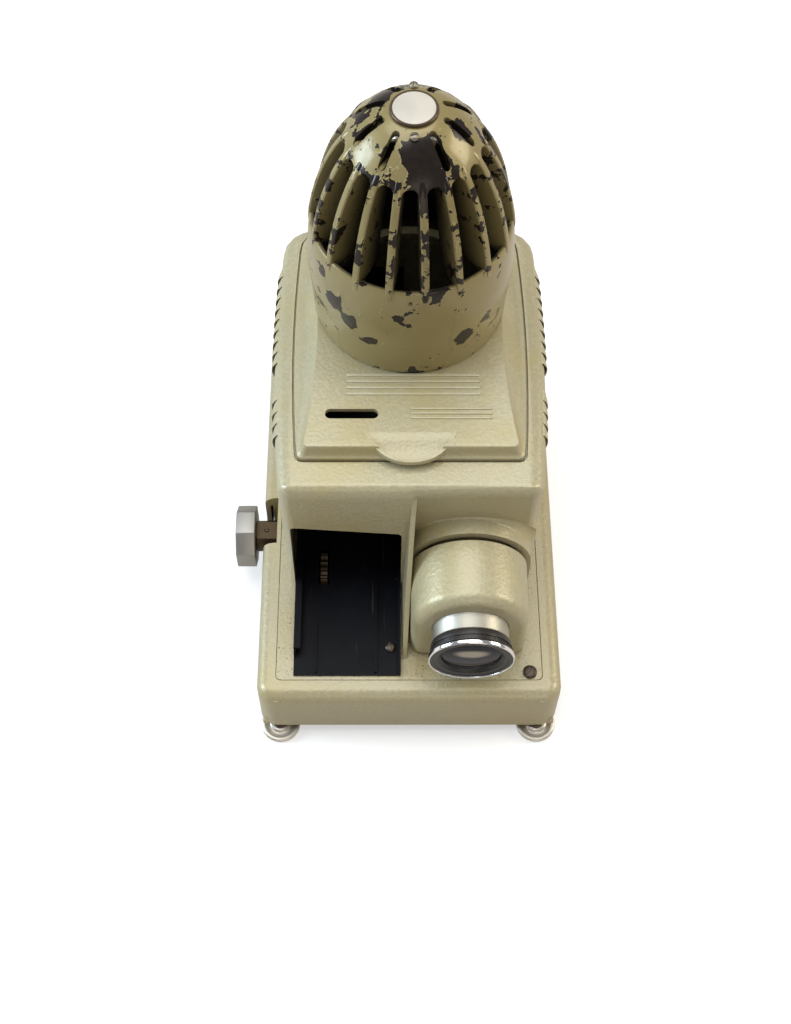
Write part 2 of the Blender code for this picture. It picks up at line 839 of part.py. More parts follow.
def mirrored(half):
    """A closed outline from its right half, front to back."""
    return half + [(-x, y) for x, y in half[::-1] if x > 0.01]


def lid_rim(inset):
    """The lid's outer outline, point for point with the raised panel's."""
    panel = panel_outline(0.0)
    middle = HOUSING_FOOT_HALF + HOUSING_FLARE - LID_RIM - inset
    front = LID_FRONT + inset
    back = LID_BACK - inset
    corner = 14.0
    half = [(bulged_half(front, middle, HOUSING_BULGE) - 3.5, front)]
    half.append((bulged_half(front, middle, HOUSING_BULGE) - 1.0, front + 1.0))
    half.append((bulged_half(front, middle, HOUSING_BULGE), front + 3.5))
    side_count = len(panel) - 3 - 6
    end = back - corner
    for i in range(1, side_count + 1):
        y = front + 3.5 + (end - front - 3.5) * i / side_count
        half.append((bulged_half(y, middle, HOUSING_BULGE), y))
    edge = bulged_half(end, middle, HOUSING_BULGE)
    for i in range(1, 7):
        angle = math.radians(90.0 * i / 6)
        half.append((edge - corner + corner * math.cos(angle), end + corner * math.sin(angle)))
    return half


def lid(parent):
    low = HOUSING_TOP - LID_SEAT
    edge = HOUSING_TOP + LID_EDGE
    panel = panel_outline(0.0)
    rings = [at_height(mirrored(lid_rim(0.0)), low)]
    rings.append(at_height(mirrored(lid_rim(0.0)), edge - 1.0))
    rings.append(at_height(mirrored(lid_rim(0.9)), edge))
    rings.append(at_height(mirrored(panel), LID_TOP - 1.0))
    rings.append(at_height(mirrored(panel_outline(1.2)), LID_TOP))
    made = loft("lid", rings, hammertone(), parent, sharp=30.0)
    tip = LID_FRONT - LIP_REACH
    lip = circle(0.0, tip + LIP_RADIUS, LIP_RADIUS, 13, 200.0, 140.0)
    lip += [(LIP_RADIUS * 0.7, LID_FRONT + 14), (-LIP_RADIUS * 0.7, LID_FRONT + 14)]
    lip_low = LID_TOP - LIP_DROP
    lip_solid = prism("finger_lip", "Z", lip, lip_low, lip_low + LIP_THICK, parent=parent)
    arms = [
        knuckle(
            f"lid_knuckle_{side}",
            side * HINGE_X,
            HINGE_WIDTH,
            LID_BACK - 6,
            HINGE_Y + 1.5,
            HOUSING_TOP + 0.6,
        )
        for side in (-1, 1)
    ]
    weld(made, lip_solid, *arms)
    hollow = [
        at_height(mirrored(lid_rim(LID_WALL + 1.0)), low - CUT),
        at_height(mirrored(lid_rim(LID_WALL + 1.0)), edge - LID_WALL),
    ]
    hollow.append(at_height(mirrored(panel_outline(LID_WALL)), LID_TOP - LID_WALL))
    cavity = loft("lid_hollow", hollow, parent=parent)
    flue = cylinder(
        "lid_flue",
        "Z",
        (0.0, CHIMNEY_Y),
        CHIMNEY_BASE_RADIUS - 8.0,
        low,
        LID_TOP + CUT,
        parent=parent,
        steps=28,
    )
    slot = rounded(*slot_sides(), LID_SLOT_WIDTH / 2 - 0.1, 5)
    window = prism("lid_slot", "Z", slot, low, LID_TOP + CUT, parent=parent)
    pins = [
        cylinder(
            f"lid_pin_hole_{side}",
            "X",
            (HINGE_Y, HINGE_Z),
            HINGE_PIN + GAP,
            side * 30,
            side * 50,
            parent=parent,
            steps=16,
        )
        for side in (-1, 1)
    ]
    cut(made, cavity, flue, window, *pins)
    return made


def slot_sides():
    half = LID_SLOT_LENGTH / 2
    across = LID_SLOT_WIDTH / 2
    return LID_SLOT_X - half, LID_SLOT_X + half, LID_SLOT_Y - across, LID_SLOT_Y + across


def dome_radius(z):
    """The chimney's outside: a slightly flared band, then a dome."""
    if z <= BAND_TOP:
        return CHIMNEY_BASE_RADIUS + (
            CHIMNEY_RADIUS - CHIMNEY_BASE_RADIUS
        ) * (z - CHIMNEY_BASE) / CHIMNEY_BAND
    share = (z - BAND_TOP) / CHIMNEY_DOME
    return CHIMNEY_RADIUS * max(1 - share * share, 0.0) ** DOME_POWER


def dome_height(radius):
    """The height at which the dome has this radius."""
    return BAND_TOP + CHIMNEY_DOME * math.sqrt(1 - (radius / CHIMNEY_RADIUS) ** (1 / DOME_POWER))


def fin(index, parent):
    """One deep radial fin: its outer edge follows the dome, its inner edge runs into the crown."""
    low = BAND_TOP + FIN_LOW - 6.0
    high = BAND_TOP + FIN_HIGH + 4.0
    outer = []
    count = 5
    for i in range(count):
        z = low + (high - low) * i / (count - 1)
        proud = FIN_PROUD if 0 < i < count - 1 else -1.0
        outer.append((dome_radius(z) + proud, z))
    root = dome_radius(high) - 4.0
    inner = [(root - 8.0, high - 3.0), (CHIMNEY_RADIUS - FIN_DEPTH - 5.0, BAND_TOP + FIN_LOW + 20.0)]
    inner += [(CHIMNEY_RADIUS - FIN_DEPTH + 6.0, low)]
    turn = math.radians(360.0 * index / FIN_COUNT + 10.0 + FIN_TURN)
    out = Vector((math.sin(turn), -math.cos(turn)))
    across = Vector((out.y, -out.x)) * (FIN_THICK / 2)
    rings = []
    for side in (-1, 1):
        rings.append([(*(Vector((0.0, CHIMNEY_Y)) + out * r + across * side), z) for r, z in outer + inner])
    return loft(f"fin_{index}", rings, parent=parent)


def chimney(parent):
    """The cast chimney: band, eighteen deep fins, and a crown with slots. The fins join band and crown."""
    steps = 36
    rim = BAND_TOP + FIN_LOW
    heights = [CHIMNEY_BASE, BAND_TOP, BAND_TOP + FIN_LOW * 0.6, rim]
    profile = [(dome_radius(z), z) for z in heights]
    profile += [(dome_radius(z) - CHIMNEY_WALL, z) for z in reversed(heights)]
    made = turned("chimney", "Z", (0.0, CHIMNEY_Y), profile, cream_enamel(), parent, steps, around=True)
    crown_low = BAND_TOP + FIN_HIGH
    flat = dome_height(BADGE_RADIUS + 1.0)
    count = 5
    radii = [
        dome_radius(crown_low) + (BADGE_RADIUS + 1.0 - dome_radius(crown_low)) * i / count
        for i in range(count)
    ]
    crown_profile = [(radii[0] - CHIMNEY_WALL - 2.0, crown_low - 2.0)]
    crown_profile += [(radius, dome_height(radius)) for radius in radii]
    crown_profile += [(BADGE_RADIUS + 1.0, flat), (0.4, flat), (0.4, flat - CHIMNEY_WALL)]
    crown_profile += [(radius - 1.0, dome_height(radius) - CHIMNEY_WALL) for radius in radii[:0:-1]]
    crown = turned("crown", "Z", (0.0, CHIMNEY_Y), crown_profile, None, parent, steps, around=True)
    core = cylinder(
        "crown_core",
        "Z",
        (0.0, CHIMNEY_Y),
        3.0,
        flat - CHIMNEY_WALL + 0.5,
        flat - 0.5,
        parent=parent,
        steps=12,
    )
    weld(made, crown, core, *[fin(i, parent) for i in range(FIN_COUNT)])
    for angle in crown_slot_angles():
        turn = math.radians(angle)
        out = Vector((math.sin(turn), -math.cos(turn)))
        across = Vector((out.y, -out.x))
        half = CROWN_SLOT_WIDTH / 2
        shape = rounded(CROWN_SLOT_INNER, CROWN_SLOT_OUTER, -half, half, half - 0.1, 4)
        outline = [Vector((0.0, CHIMNEY_Y)) + out * u + across * v for u, v in shape]
        cut(
            made,
            prism(
                f"crown_slot_{angle:.0f}",
                "Z",
                [tuple(p) for p in outline],
                crown_low + 4.6,
                flat + CUT,
                parent=parent,
            ),
        )
    for side in (-1, 1):
        hole = cylinder(
            f"crown_screw_hole_{side}",
            "Z",
            crown_screw_place(side),
            1.5,
            flat - 8,
            flat + CUT,
            parent=parent,
            steps=12,
        )
        cut(made, hole)
    return made


def crown_slot_angles():
    return [side * (32.0 + 40.0 * i) for side in (-1, 1) for i in range(4)]


def crown_screw_place(side):
    return 0.0, CHIMNEY_Y + side * (BADGE_RADIUS + 4.8)


def badge(parent):
    low = dome_height(BADGE_RADIUS + 1.0) + GAP
    profile = [
        (BADGE_RADIUS, low),
        (BADGE_RADIUS, low + BADGE_THICK - 0.5),
        (BADGE_RADIUS - 0.6, low + BADGE_THICK),
    ]
    turned("badge", "Z", (0.0, CHIMNEY_Y), profile, aluminium(), parent, steps=32)


def crown_screws(parent):
    for name, side in (("front", -1), ("rear", 1)):
        low = dome_height(BADGE_RADIUS + 4.8 - SCREW_HEAD) - 0.2
        slotted_head(
            f"chimney_screw_{name}",
            "Z",
            crown_screw_place(side),
            low - 7,
            low + 1.9,
            SCREW_HEAD,
            steel(),
            parent,
        )


# Magazine channel


def magazine_channel():
    """The sheet tray that the magazine slides in: floor, left wall with a folded guide lip, right wall."""
    low = DECK_TOP + GAP
    left = CHANNEL_LEFT + 0.3
    right = CHANNEL_RIGHT - 0.3
    section = [(left, low), (right, low), (right, low + TRAY_WALL), (right - TRAY_SHEET, low + TRAY_WALL)]
    section += [
        (right - TRAY_SHEET, TRAY_TOP),
        (left + TRAY_SHEET, TRAY_TOP),
        (left + TRAY_SHEET, low + TRAY_WALL - TRAY_SHEET),
    ]
    section += [
        (left + TRAY_FLANGE, low + TRAY_WALL - TRAY_SHEET),
        (left + TRAY_FLANGE, low + TRAY_WALL),
        (left, low + TRAY_WALL),
    ]
    made = prism("magazine_channel", "Y", section, CHANNEL_FRONT, HOUSING_BACK + 1.5, black_enamel())
    slant = [
        (CHANNEL_FRONT - CUT, TRAY_TOP),
        (CHANNEL_FRONT - CUT, 80.0),
        (CHANNEL_FRONT + 14.0, 80.0),
        (CHANNEL_FRONT + 14.0, low + 7.0),
    ]
    slant += [(CHANNEL_FRONT + 10.0, TRAY_TOP)]
    clip = prism("guide_clip", "X", slant, left - CUT, left + TRAY_FLANGE + 2)
    slit = box("tray_slit", (left + TRAY_SHEET, SLIDE_Y - 2.6, low - CUT), (right + CUT, SLIDE_Y + 2.6, 80.0))
    wheel = box(
        "tray_wheel_slot",
        (WHEEL_X - 3.2, WHEEL_Y - 12, low - CUT),
        (WHEEL_X + 3.2, WHEEL_Y + 12, TRAY_TOP + CUT),
    )
    screw = cylinder("tray_screw_hole", "Z", channel_screw_place(), 1.8, low - CUT, TRAY_TOP + CUT, steps=12)
    weld(made, *floor_ridges())
    cut(made, clip, slit, wheel, screw)
    return made


def floor_ridges():
    """Two pressed ridges in the tray's floor: a long one at the right and a short one at the left."""
    right = CHANNEL_RIGHT - 14.5
    left = CHANNEL_LEFT + 13.0
    low = TRAY_TOP - TRAY_SHEET / 2
    high = TRAY_TOP + 1.2
    long_one = box("ridge_right", (right - 0.8, CHANNEL_FRONT + 1.5, low), (right + 0.8, SLIDE_Y - 6.0, high))
    short_one = box(
        "ridge_left", (left - 0.6, CHANNEL_FRONT + 1.5, low), (left + 0.6, CHANNEL_FRONT + 34.0, high)
    )
    return long_one, short_one


def channel_screw():
    slotted_head(
        "channel_screw", "Z", channel_screw_place(), DECK_TOP - 7, TRAY_TOP + GAP + 1.6, 3.0, steel()
    )


def tunnel_shield():
    """Black sheet that walls the magazine's tunnel off from the lamp, with a window for the slide."""
    low = DECK_TOP + GAP
    x = CHANNEL_RIGHT + 1.2
    roof = DECK_TOP + CHANNEL_HEIGHT + MOUTH_RISE + 1.0
    left = CHANNEL_LEFT + 1.0
    section = [(x, low), (x + 1.0, low), (x + 1.0, roof + 1.0), (left, roof + 1.0), (left, roof), (x, roof)]
    made = prism(
        "tunnel_shield",
        "Y",
        section,
        FRONT_RIGHT_FOOT + 6.0,
        HOUSING_BACK - HOUSING_CORNER - 4.0,
        black_enamel(),
    )
    low_cut = low - CUT
    window = box(
        "slide_window",
        (x - CUT, SLIDE_Y - 3.2, low_cut),
        (x + CUT, SLIDE_Y + 3.2, OPTIC_Z + SLIDE_SIZE / 2 + 3.0),
    )
    cut(made, window)
    return made


# Lens, carriage and focus drive


def lens_carriage(parent):
    """The arched drum in front of the housing, its guide sleeve behind, and the lug that carries the rack."""
    low = DECK_TOP + 2.0
    rings = []
    back = HOOD_FRONT - HOOD_GAP
    rings.append([(x, back, z) for x, z in arch(COWL_RADIUS, low)])
    for i in range(4):
        angle = math.radians(90.0 * i / 3)
        inset = COWL_ROUND * (1 - math.cos(angle))
        y = COWL_FRONT + COWL_ROUND * (1 - math.sin(angle))
        rings.append([(x, y, z) for x, z in arch(COWL_RADIUS - inset, low)])
    made = loft("lens_carriage", rings, hammertone(), parent)
    sleeve = cylinder(
        "carriage_sleeve",
        "Y",
        (OPTIC_X, OPTIC_Z),
        SLEEVE_RADIUS,
        back - CUT,
        SLEEVE_BACK,
        parent=parent,
        steps=28,
    )
    half = RACK_WIDTH / 2
    lug = box(
        "rack_lug",
        (RACK_X - half, LUG_FRONT, LUG_LOW),
        (RACK_X + half, LUG_FRONT + 10.0, LUG_LOW + 14.0),
        parent=parent,
    )
    weld(made, sleeve, lug)
    bore = cylinder(
        "lens_bore",
        "Y",
        (OPTIC_X, OPTIC_Z),
        BARREL_RADIUS + GAP,
        COWL_FRONT - CUT,
        SLEEVE_BACK + CUT,
        parent=parent,
        steps=28,
    )
    inside = prism(
        "cowl_hollow",
        "Y",
        arch(COWL_RADIUS - 4.0, low - CUT),
        back + CUT,
        COWL_FRONT + 9.0,
        parent=parent,
    )
    cut(
        inside,
        cylinder(
            "kept_sleeve",
            "Y",
            (OPTIC_X, OPTIC_Z),
            SLEEVE_RADIUS - 0.4,
            COWL_FRONT,
            back + 9,
            parent=parent,
        ),
    )
    cut(made, inside, bore)
    return made


def lens_parts(parent):
    centre = (OPTIC_X, OPTIC_Z)
    front = BAR_FRONT
    profile = [
        (BARREL_RADIUS, front),
        (BARREL_RADIUS, BARREL_BACK),
        (BARREL_BORE, BARREL_BACK),
        (BARREL_BORE, front),
    ]
    turned("lens_barrel", "Y", centre, profile, aluminium(), parent, steps=28, around=True)
    inner = BARREL_RADIUS + GAP
    grip = [
        (inner, front + 0.2),
        (GRIP_RADIUS, front + 0.2),
        (GRIP_RADIUS, front + 3.2),
        (GRIP_RADIUS - 0.7, front + 3.6),
    ]
    grip += [
        (GRIP_RADIUS, front + 4.0), (GRIP_RADIUS - 0.5, front + GRIP_LENGTH), (inner, front + GRIP_LENGTH)
    ]
    turned("lens_grip_ring", "Y", centre, grip, bakelite(), parent, steps=28, around=True)
    face = front - GAP
    hole = BARREL_BORE - 3.0
    rim = [
        (hole, face),
        (RIM_RADIUS - 0.6, face),
        (RIM_RADIUS, face - 0.6),
        (RIM_RADIUS, face - RIM_LENGTH + 0.6),
    ]
    rim += [(RIM_RADIUS - 0.8, face - RIM_LENGTH), (BARREL_BORE + 2.6, face - RIM_LENGTH + 0.8)]
    rim.append((hole, face - 0.9))
    turned("lens_front_ring", "Y", centre, rim, chrome(), parent, steps=28, around=True)
    for name, place, thick, bulge in (
        ("front_lens_element", front + 1.0, 4.0, 2.6), ("rear_lens_element", BARREL_BACK - 6.0, 4.0, -2.6)
    ):
        element(name, centre, BARREL_BORE - GAP, place, thick, bulge, parent)


def element(name, centre, radius, start, thick, bulge, parent=None, steps=24):
    """A lens: a cylindrical edge with one domed face, in front when bulge is positive, else behind."""
    profile = [(0.4, start + thick), (radius, start + thick), (radius, start)]
    if bulge < 0:
        profile = [(0.4, start), (radius, start), (radius, start + thick)]
    face = profile[-1][1]
    for share in (0.7, 0.4, 0.05):
        lift = abs(bulge) * (1 - share * share)
        profile.append((radius * share, face - lift if bulge > 0 else face + lift))
    turned(name, "Y", centre, profile, glass(), parent, steps)


def tooth_outline(u, v, teeth):
    """A pinion's outline with straight-sided teeth that run with play."""
    radius = MODULE * teeth / 2
    tip = radius + 0.85 * MODULE
    root = radius - 1.15 * MODULE
    points = []
    for i in range(teeth):
        middle = 360.0 * i / teeth
        for reach, part in ((root, -0.30), (tip, -0.10), (tip, 0.10), (root, 0.30)):
            angle = math.radians(middle + 360.0 / teeth * part)
            points.append((u + reach * math.cos(angle), v + reach * math.sin(angle)))
    return points


def rack_outline(start, end, pitch_line, back, mesh_at):
    """A rack's side view, teeth down, with a gap centred at mesh_at."""
    pitch = math.pi * MODULE
    tip = pitch_line - 0.85 * MODULE
    root = pitch_line + 1.15 * MODULE
    points = [(end, back), (start, back), (start, root)]
    first = math.ceil((start + 0.4 * pitch - mesh_at) / pitch - 0.5)
    place = mesh_at + (first + 0.5) * pitch
    while place + 0.4 * pitch < end:
        points += [(place - 0.31 * pitch, root), (place - 0.12 * pitch, tip)]
        points += [(place + 0.12 * pitch, tip), (place + 0.31 * pitch, root)]
        place += pitch
    return points + [(end, root)]


def focus_drive(parent):
    knob_outer = KNOB_INNER - KNOB_LENGTH
    centre = (SHAFT_Y, SHAFT_Z)
    floor = -BASE_HALF + NOTCH_DEPTH
    octagon = circle(*centre, KNOB_RADIUS, 8, 22.5, 360.0)
    knob = prism("focus_knob", "X", octagon, knob_outer, KNOB_INNER, aluminium(), parent)
    bevel = knob.modifiers.new("edge", "BEVEL")
    bevel.width = 0.5 * MM
    bevel.segments = 1
    cut(
        knob,
        cylinder(
            "knob_bore",
            "X",
            centre,
            SHAFT_RADIUS + GAP,
            knob_outer + 4,
            KNOB_INNER + CUT,
            parent=parent,
            steps=16,
        ),
    )
    hub = cylinder(
        "focus_hub", "X", centre, HUB_RADIUS, KNOB_INNER + GAP, floor - GAP, steel(), parent, steps=28
    )
    flat = box(
        "hub_flat",
        (KNOB_INNER, SHAFT_Y - 12, SHAFT_Z + 7.5),
        (floor, SHAFT_Y + 12, SHAFT_Z + 14),
        parent=parent,
    )
    cut(hub, flat)
    cut(
        hub,
        cylinder(
            "hub_bore",
            "X",
            centre,
            SHAFT_RADIUS + GAP,
            KNOB_INNER - CUT,
            floor + CUT,
            parent=parent,
            steps=16,
        ),
    )
    half = RACK_WIDTH / 2
    shaft = cylinder(
        "focus_shaft",
        "X",
        centre,
        SHAFT_RADIUS,
        knob_outer + 4 + GAP,
        RACK_X + 13,
        steel(),
        parent,
        steps=16,
    )
    outline = tooth_outline(*centre, PINION_TEETH)
    weld(shaft, prism("focus_pinion", "X", outline, RACK_X - half + 0.4, RACK_X + half - 0.4, parent=parent))


def focus_bearings():
    floor = -BASE_HALF + NOTCH_DEPTH
    centre = (SHAFT_Y, SHAFT_Z)
    ring(
        "shaft_bush",
        "X",
        centre,
        SHAFT_RADIUS + 2 - GAP,
        SHAFT_RADIUS + GAP,
        floor,
        floor + 6.5,
        brass(),
        steps=20,
    )
    x = RACK_X + RACK_WIDTH / 2 + 4
    low = PLATE_TOP + GAP
    outline = [(SHAFT_Y - 7, low), (SHAFT_Y + 7, low)] + circle(*centre, 6.0, 9, 0.0, 180.0)
    made = prism("shaft_bracket", "X", outline, x, x + 3, steel())
    foot = box("bracket_foot", (x - 0.5, SHAFT_Y - 7, low), (x + 12, SHAFT_Y + 7, low + 1.5))
    weld(made, foot)
    cut(made, cylinder("bracket_bore", "X", centre, SHAFT_RADIUS + GAP, x - CUT, x + 3 + CUT, steps=16))


def focus_rack(parent):
    half = RACK_WIDTH / 2
    pitch_line = SHAFT_Z + PINION_RADIUS
    outline = rack_outline(LUG_FRONT, 14.0, pitch_line, pitch_line + 5.5, SHAFT_Y)
    made = prism("focus_rack", "X", outline, RACK_X - half, RACK_X + half, brass(), parent)
    leg = box(
        "rack_leg",
        (RACK_X - half, LUG_FRONT, pitch_line + 3),
        (RACK_X + half, LUG_FRONT + 10.0, LUG_LOW - GAP),
        parent=parent,
    )
    weld(made, leg)
    return made


# Slide changer


def changer(carrier, spinner):
    """The shuttle that pushes a slide from the magazine to the gate: rack, block and blade on a guide rod."""
    pitch_line = CHANGER_Z + PINION_RADIUS
    start = PUSHER_X - 8.0
    end = CHANGER_X + 9.0
    outline = rack_outline(start, end, pitch_line, pitch_line + 5.5, CHANGER_X)
    shuttle = prism("slide_shuttle", "Y", outline, CHANGER_Y - 3, CHANGER_Y + 3, steel(), carrier)
    block = box(
        "shuttle_block",
        (start, SLIDE_Y + 5, pitch_line + 2),
        (start + 16, ROD_Y + 5, ROD_Z + 4.5),
        parent=carrier,
    )
    weld(shuttle, block)
    cut(
        shuttle,
        cylinder(
            "rod_bore",
            "X",
            (ROD_Y, ROD_Z),
            ROD_RADIUS + GAP,
            start - CUT,
            start + 16 + CUT,
            parent=carrier,
            steps=16,
        ),
    )
    foot = box(
        "slide_pusher",
        (PUSHER_X - 2, SLIDE_Y - 1, 36.0),
        (PUSHER_X + 2, SLIDE_Y + 1, OPTIC_Z + SLIDE_SIZE / 2 + 1),
        steel(),
        carrier,
    )
    tab = box(
        "pusher_tab",
        (PUSHER_X - 6, SLIDE_Y - 1, 35.0),
        (PUSHER_X + 6, SLIDE_Y + 5 - GAP, 44.0),
        parent=carrier,
    )
    weld(foot, tab)
    reach = BASE_HALF - BASE_WALL - 1.5
    cylinder("changer_guide_rod", "X", (ROD_Y, ROD_Z), ROD_RADIUS, -reach, reach, chrome(), steps=16)
    centre = (CHANGER_X, CHANGER_Z)
    teeth = tooth_outline(*centre, PINION_TEETH)
    pinion = prism("changer_pinion", "Y", teeth, CHANGER_Y - 2.5, CHANGER_Y + 2.5, brass(), spinner)
    weld(pinion, cylinder("changer_shaft", "Y", centre, 2.0, CHANGER_Y - 3.5, 56.0, parent=spinner, steps=16))
    radius = CHANGER_Z - PLATE_TOP - GAP
    profile = [
        (4.0, 42.0), (4.0, 46.0), (radius, 46.0), (radius, 92.0), (4.0, 92.0), (2.3, 92.0), (2.3, 42.0)
    ]
    turned("changer_motor", "Y", centre, profile, blackened_steel(), steps=28, around=True)


def transport(parent):
    """The toothed wheel that moves the magazine on, with its shaft and bracket."""
    z = DECK_TOP + GAP + TRAY_SHEET + WHEEL_PROUD - WHEEL_RADIUS
    centre = (WHEEL_Y, z)
    points = []
    count = 18
    for i in range(count):
        for reach, part in ((-1.8, -0.32), (0.0, -0.12), (0.0, 0.12), (-1.8, 0.32)):
            angle = 2 * math.pi * (i + part) / count
            radius = WHEEL_RADIUS + reach
            points.append((WHEEL_Y + radius * math.cos(angle), z + radius * math.sin(angle)))
    wheel = prism("transport_wheel", "X", points, WHEEL_X - 2, WHEEL_X + 2, brass(), parent)
    weld(
        wheel,
        cylinder("transport_shaft", "X", centre, 2.0, WHEEL_X - 9, WHEEL_X + 9, parent=parent, steps=16),
    )
    low = PLATE_TOP + GAP
    section = [(WHEEL_X - 8, low), (WHEEL_X + 8, low), (WHEEL_X + 8, z + 5), (WHEEL_X + 6, z + 5)]
    section += [(WHEEL_X + 6, low + 2), (WHEEL_X - 6, low + 2), (WHEEL_X - 6, z + 5), (WHEEL_X - 8, z + 5)]
    bracket = prism("transport_bracket", "Y", section, WHEEL_Y - 6, WHEEL_Y + 6, steel())
    cut(bracket, cylinder("bracket_wheel_bore", "X", centre, 2.3, WHEEL_X - 12, WHEEL_X + 12, steps=16))
    return z


# Gate, condenser, lamp and fan


def slide_gate():
    """Two plates with an aperture each; the slide slides in between them from the magazine."""
    low = DECK_TOP + GAP
    left = slide_end() - 3.0
    right = OPTIC_X + SLIDE_SIZE / 2 + 4.0
    top = OPTIC_Z + SLIDE_SIZE / 2 + 4.0
    half = SLIDE_SLOT / 2
    made = box(
        "slide_gate", (left, SLIDE_Y - half - 2, low), (right, SLIDE_Y + half + 2, top), black_enamel()
    )
    entry = left + 9.0
    shelf = OPTIC_Z - SLIDE_SIZE / 2 - 0.5
    slot = box("gate_slot", (left - CUT, SLIDE_Y - half, shelf), (right - 3.2, SLIDE_Y + half, top + CUT))
    way = box("gate_way", (left - CUT, SLIDE_Y - half, low - CUT), (entry, SLIDE_Y + half, shelf + 2))
    aperture = rounded(OPTIC_X - 18.0, OPTIC_X + 18.0, OPTIC_Z - 18.0, OPTIC_Z + 18.0, 2.0, 3)
    window = prism("gate_aperture", "Y", aperture, SLIDE_Y - 10, SLIDE_Y + 10)
    cut(made, slot, way, window)
    return made


def condenser_stack():
    """A cradle with three forks, and the two condenser lenses and the heat filter that stand in it."""
    low = DECK_TOP + GAP
    centre = (OPTIC_X, OPTIC_Z)
    places = (38.0, 51.0, 64.0)
    holder = box(
        "condenser_holder",
        (OPTIC_X - 20, places[0] - 2, low),
        (OPTIC_X + 20, places[-1] + 2, low + 3),
        black_enamel(),
    )
    for place in places:
        half = CONDENSER_RADIUS + 3.5
        outline = [(OPTIC_X + half, low), (OPTIC_X + half, OPTIC_Z - 4)]
        start = math.degrees(math.asin(-4 / (CONDENSER_RADIUS + GAP)))
        outline += circle(*centre, CONDENSER_RADIUS + GAP, 13, start, -180.0 - 2 * start)
        outline += [(OPTIC_X - half, OPTIC_Z - 4), (OPTIC_X - half, low)]
        weld(holder, prism(f"fork_{place:.0f}", "Y", outline, place - 2, place + 2))
    element("condenser_front", centre, CONDENSER_RADIUS, places[0] - 1.5, 3.0, -8.0)
    turned(
        "heat_filter",
        "Y",
        centre,
        [(CONDENSER_RADIUS, places[1] - 1.5), (CONDENSER_RADIUS, places[1] + 1.5)],
        glass(),
        steps=24,
    )
    element("condenser_rear", centre, CONDENSER_RADIUS, places[2] - 1.5, 3.0, 8.0)


def lamp_parts():
    centre = (OPTIC_X, LAMP_Y)
    low = DECK_TOP + GAP
    reach = FAN_HOLE + 4.0
    box("lamp_bracket", (OPTIC_X - reach, LAMP_Y - 8, low), (OPTIC_X + reach, LAMP_Y + 8, low + 2), steel())
    seat = low + 2 + GAP
    socket = [
        (13.0, seat), (13.0, seat + 9), (10.3, seat + 9), (10.3, seat + 2), (2.0, seat + 2), (2.0, seat)
    ]
    turned("lamp_socket", "Z", centre, socket, ceramic(), steps=28, around=True)
    base = seat + 14
    bulb = [(10.0, seat + 2 + GAP), (10.0, seat + 12), (LAMP_RADIUS * 0.6, base)]
    bulb += [(LAMP_RADIUS * 0.9, base + 3), (LAMP_RADIUS, base + 8), (LAMP_RADIUS, base + 30)]
    for angle in (30.0, 60.0, 85.0):
        turn = math.radians(angle)
        bulb.append((LAMP_RADIUS * math.cos(turn), base + 30 + LAMP_RADIUS * math.sin(turn)))
    turned("lamp_bulb", "Z", centre, bulb, glass(), steps=28)
    back = LAMP_Y + LAMP_RADIUS + 4.0
    dish = [
        (23.0, back),
        (12.0, back + 4.5),
        (0.5, back + 6.0),
        (0.5, back + 7.5),
        (13.0, back + 6.0),
        (24.5, back),
    ]
    mirror = turned("reflector", "Y", (OPTIC_X, OPTIC_Z), dish, chrome(), steps=28, around=True)
    plug = cylinder("reflector_plug", "Y", (OPTIC_X, OPTIC_Z), 2.0, back + 6.1, back + 8.5, steps=12)
    stalk = box(
        "reflector_stalk", (OPTIC_X - 5, back + 2.0, low + 0.5), (OPTIC_X + 5, back + 4.0, OPTIC_Z - 18.5)
    )
    foot = box("reflector_foot", (OPTIC_X - 6, LAMP_Y + 8 + GAP, low), (OPTIC_X + 6, back + 5.0, low + 2))
    weld(mirror, plug, stalk, foot)


def fan(parent):
    centre = (OPTIC_X, LAMP_Y)
    low = PLATE_TOP + GAP
    motor = [
        (FAN_MOTOR_RADIUS, low),
        (FAN_MOTOR_RADIUS, low + 16),
        (5.0, low + 18),
        (2.35, low + 18),
        (2.35, low),
    ]
    turned("fan_motor", "Z", centre, motor, blackened_steel(), steps=28, around=True)
    hub_low = low + 20
    hub = [(2.0, low + 2), (2.0, hub_low), (7.0, hub_low), (7.0, hub_low + 9), (5.5, hub_low + 10)]
    impeller = turned("fan_impeller", "Z", centre, hub, steel(), parent, steps=18)
    count = 6
    for i in range(count):
        turn = 2 * math.pi * i / count
        out = Vector((math.cos(turn), math.sin(turn)))
        across = Vector((-out.y, out.x))
        rings = []
        for radius, half in ((5.0, 5.0), (FAN_RADIUS, 8.0)):
            middle = Vector(centre) + out * radius
            one = middle - across * half
            two = middle + across * half
            z0 = hub_low + 1.5
            z1 = hub_low + 7.0
            rings.append([(*one, z0), (*two, z1), (*two, z1 + 1.2), (*one, z0 + 1.2)])
        weld(impeller, loft(f"blade_{i}", rings, parent=parent))
    return impeller


# Rear panel


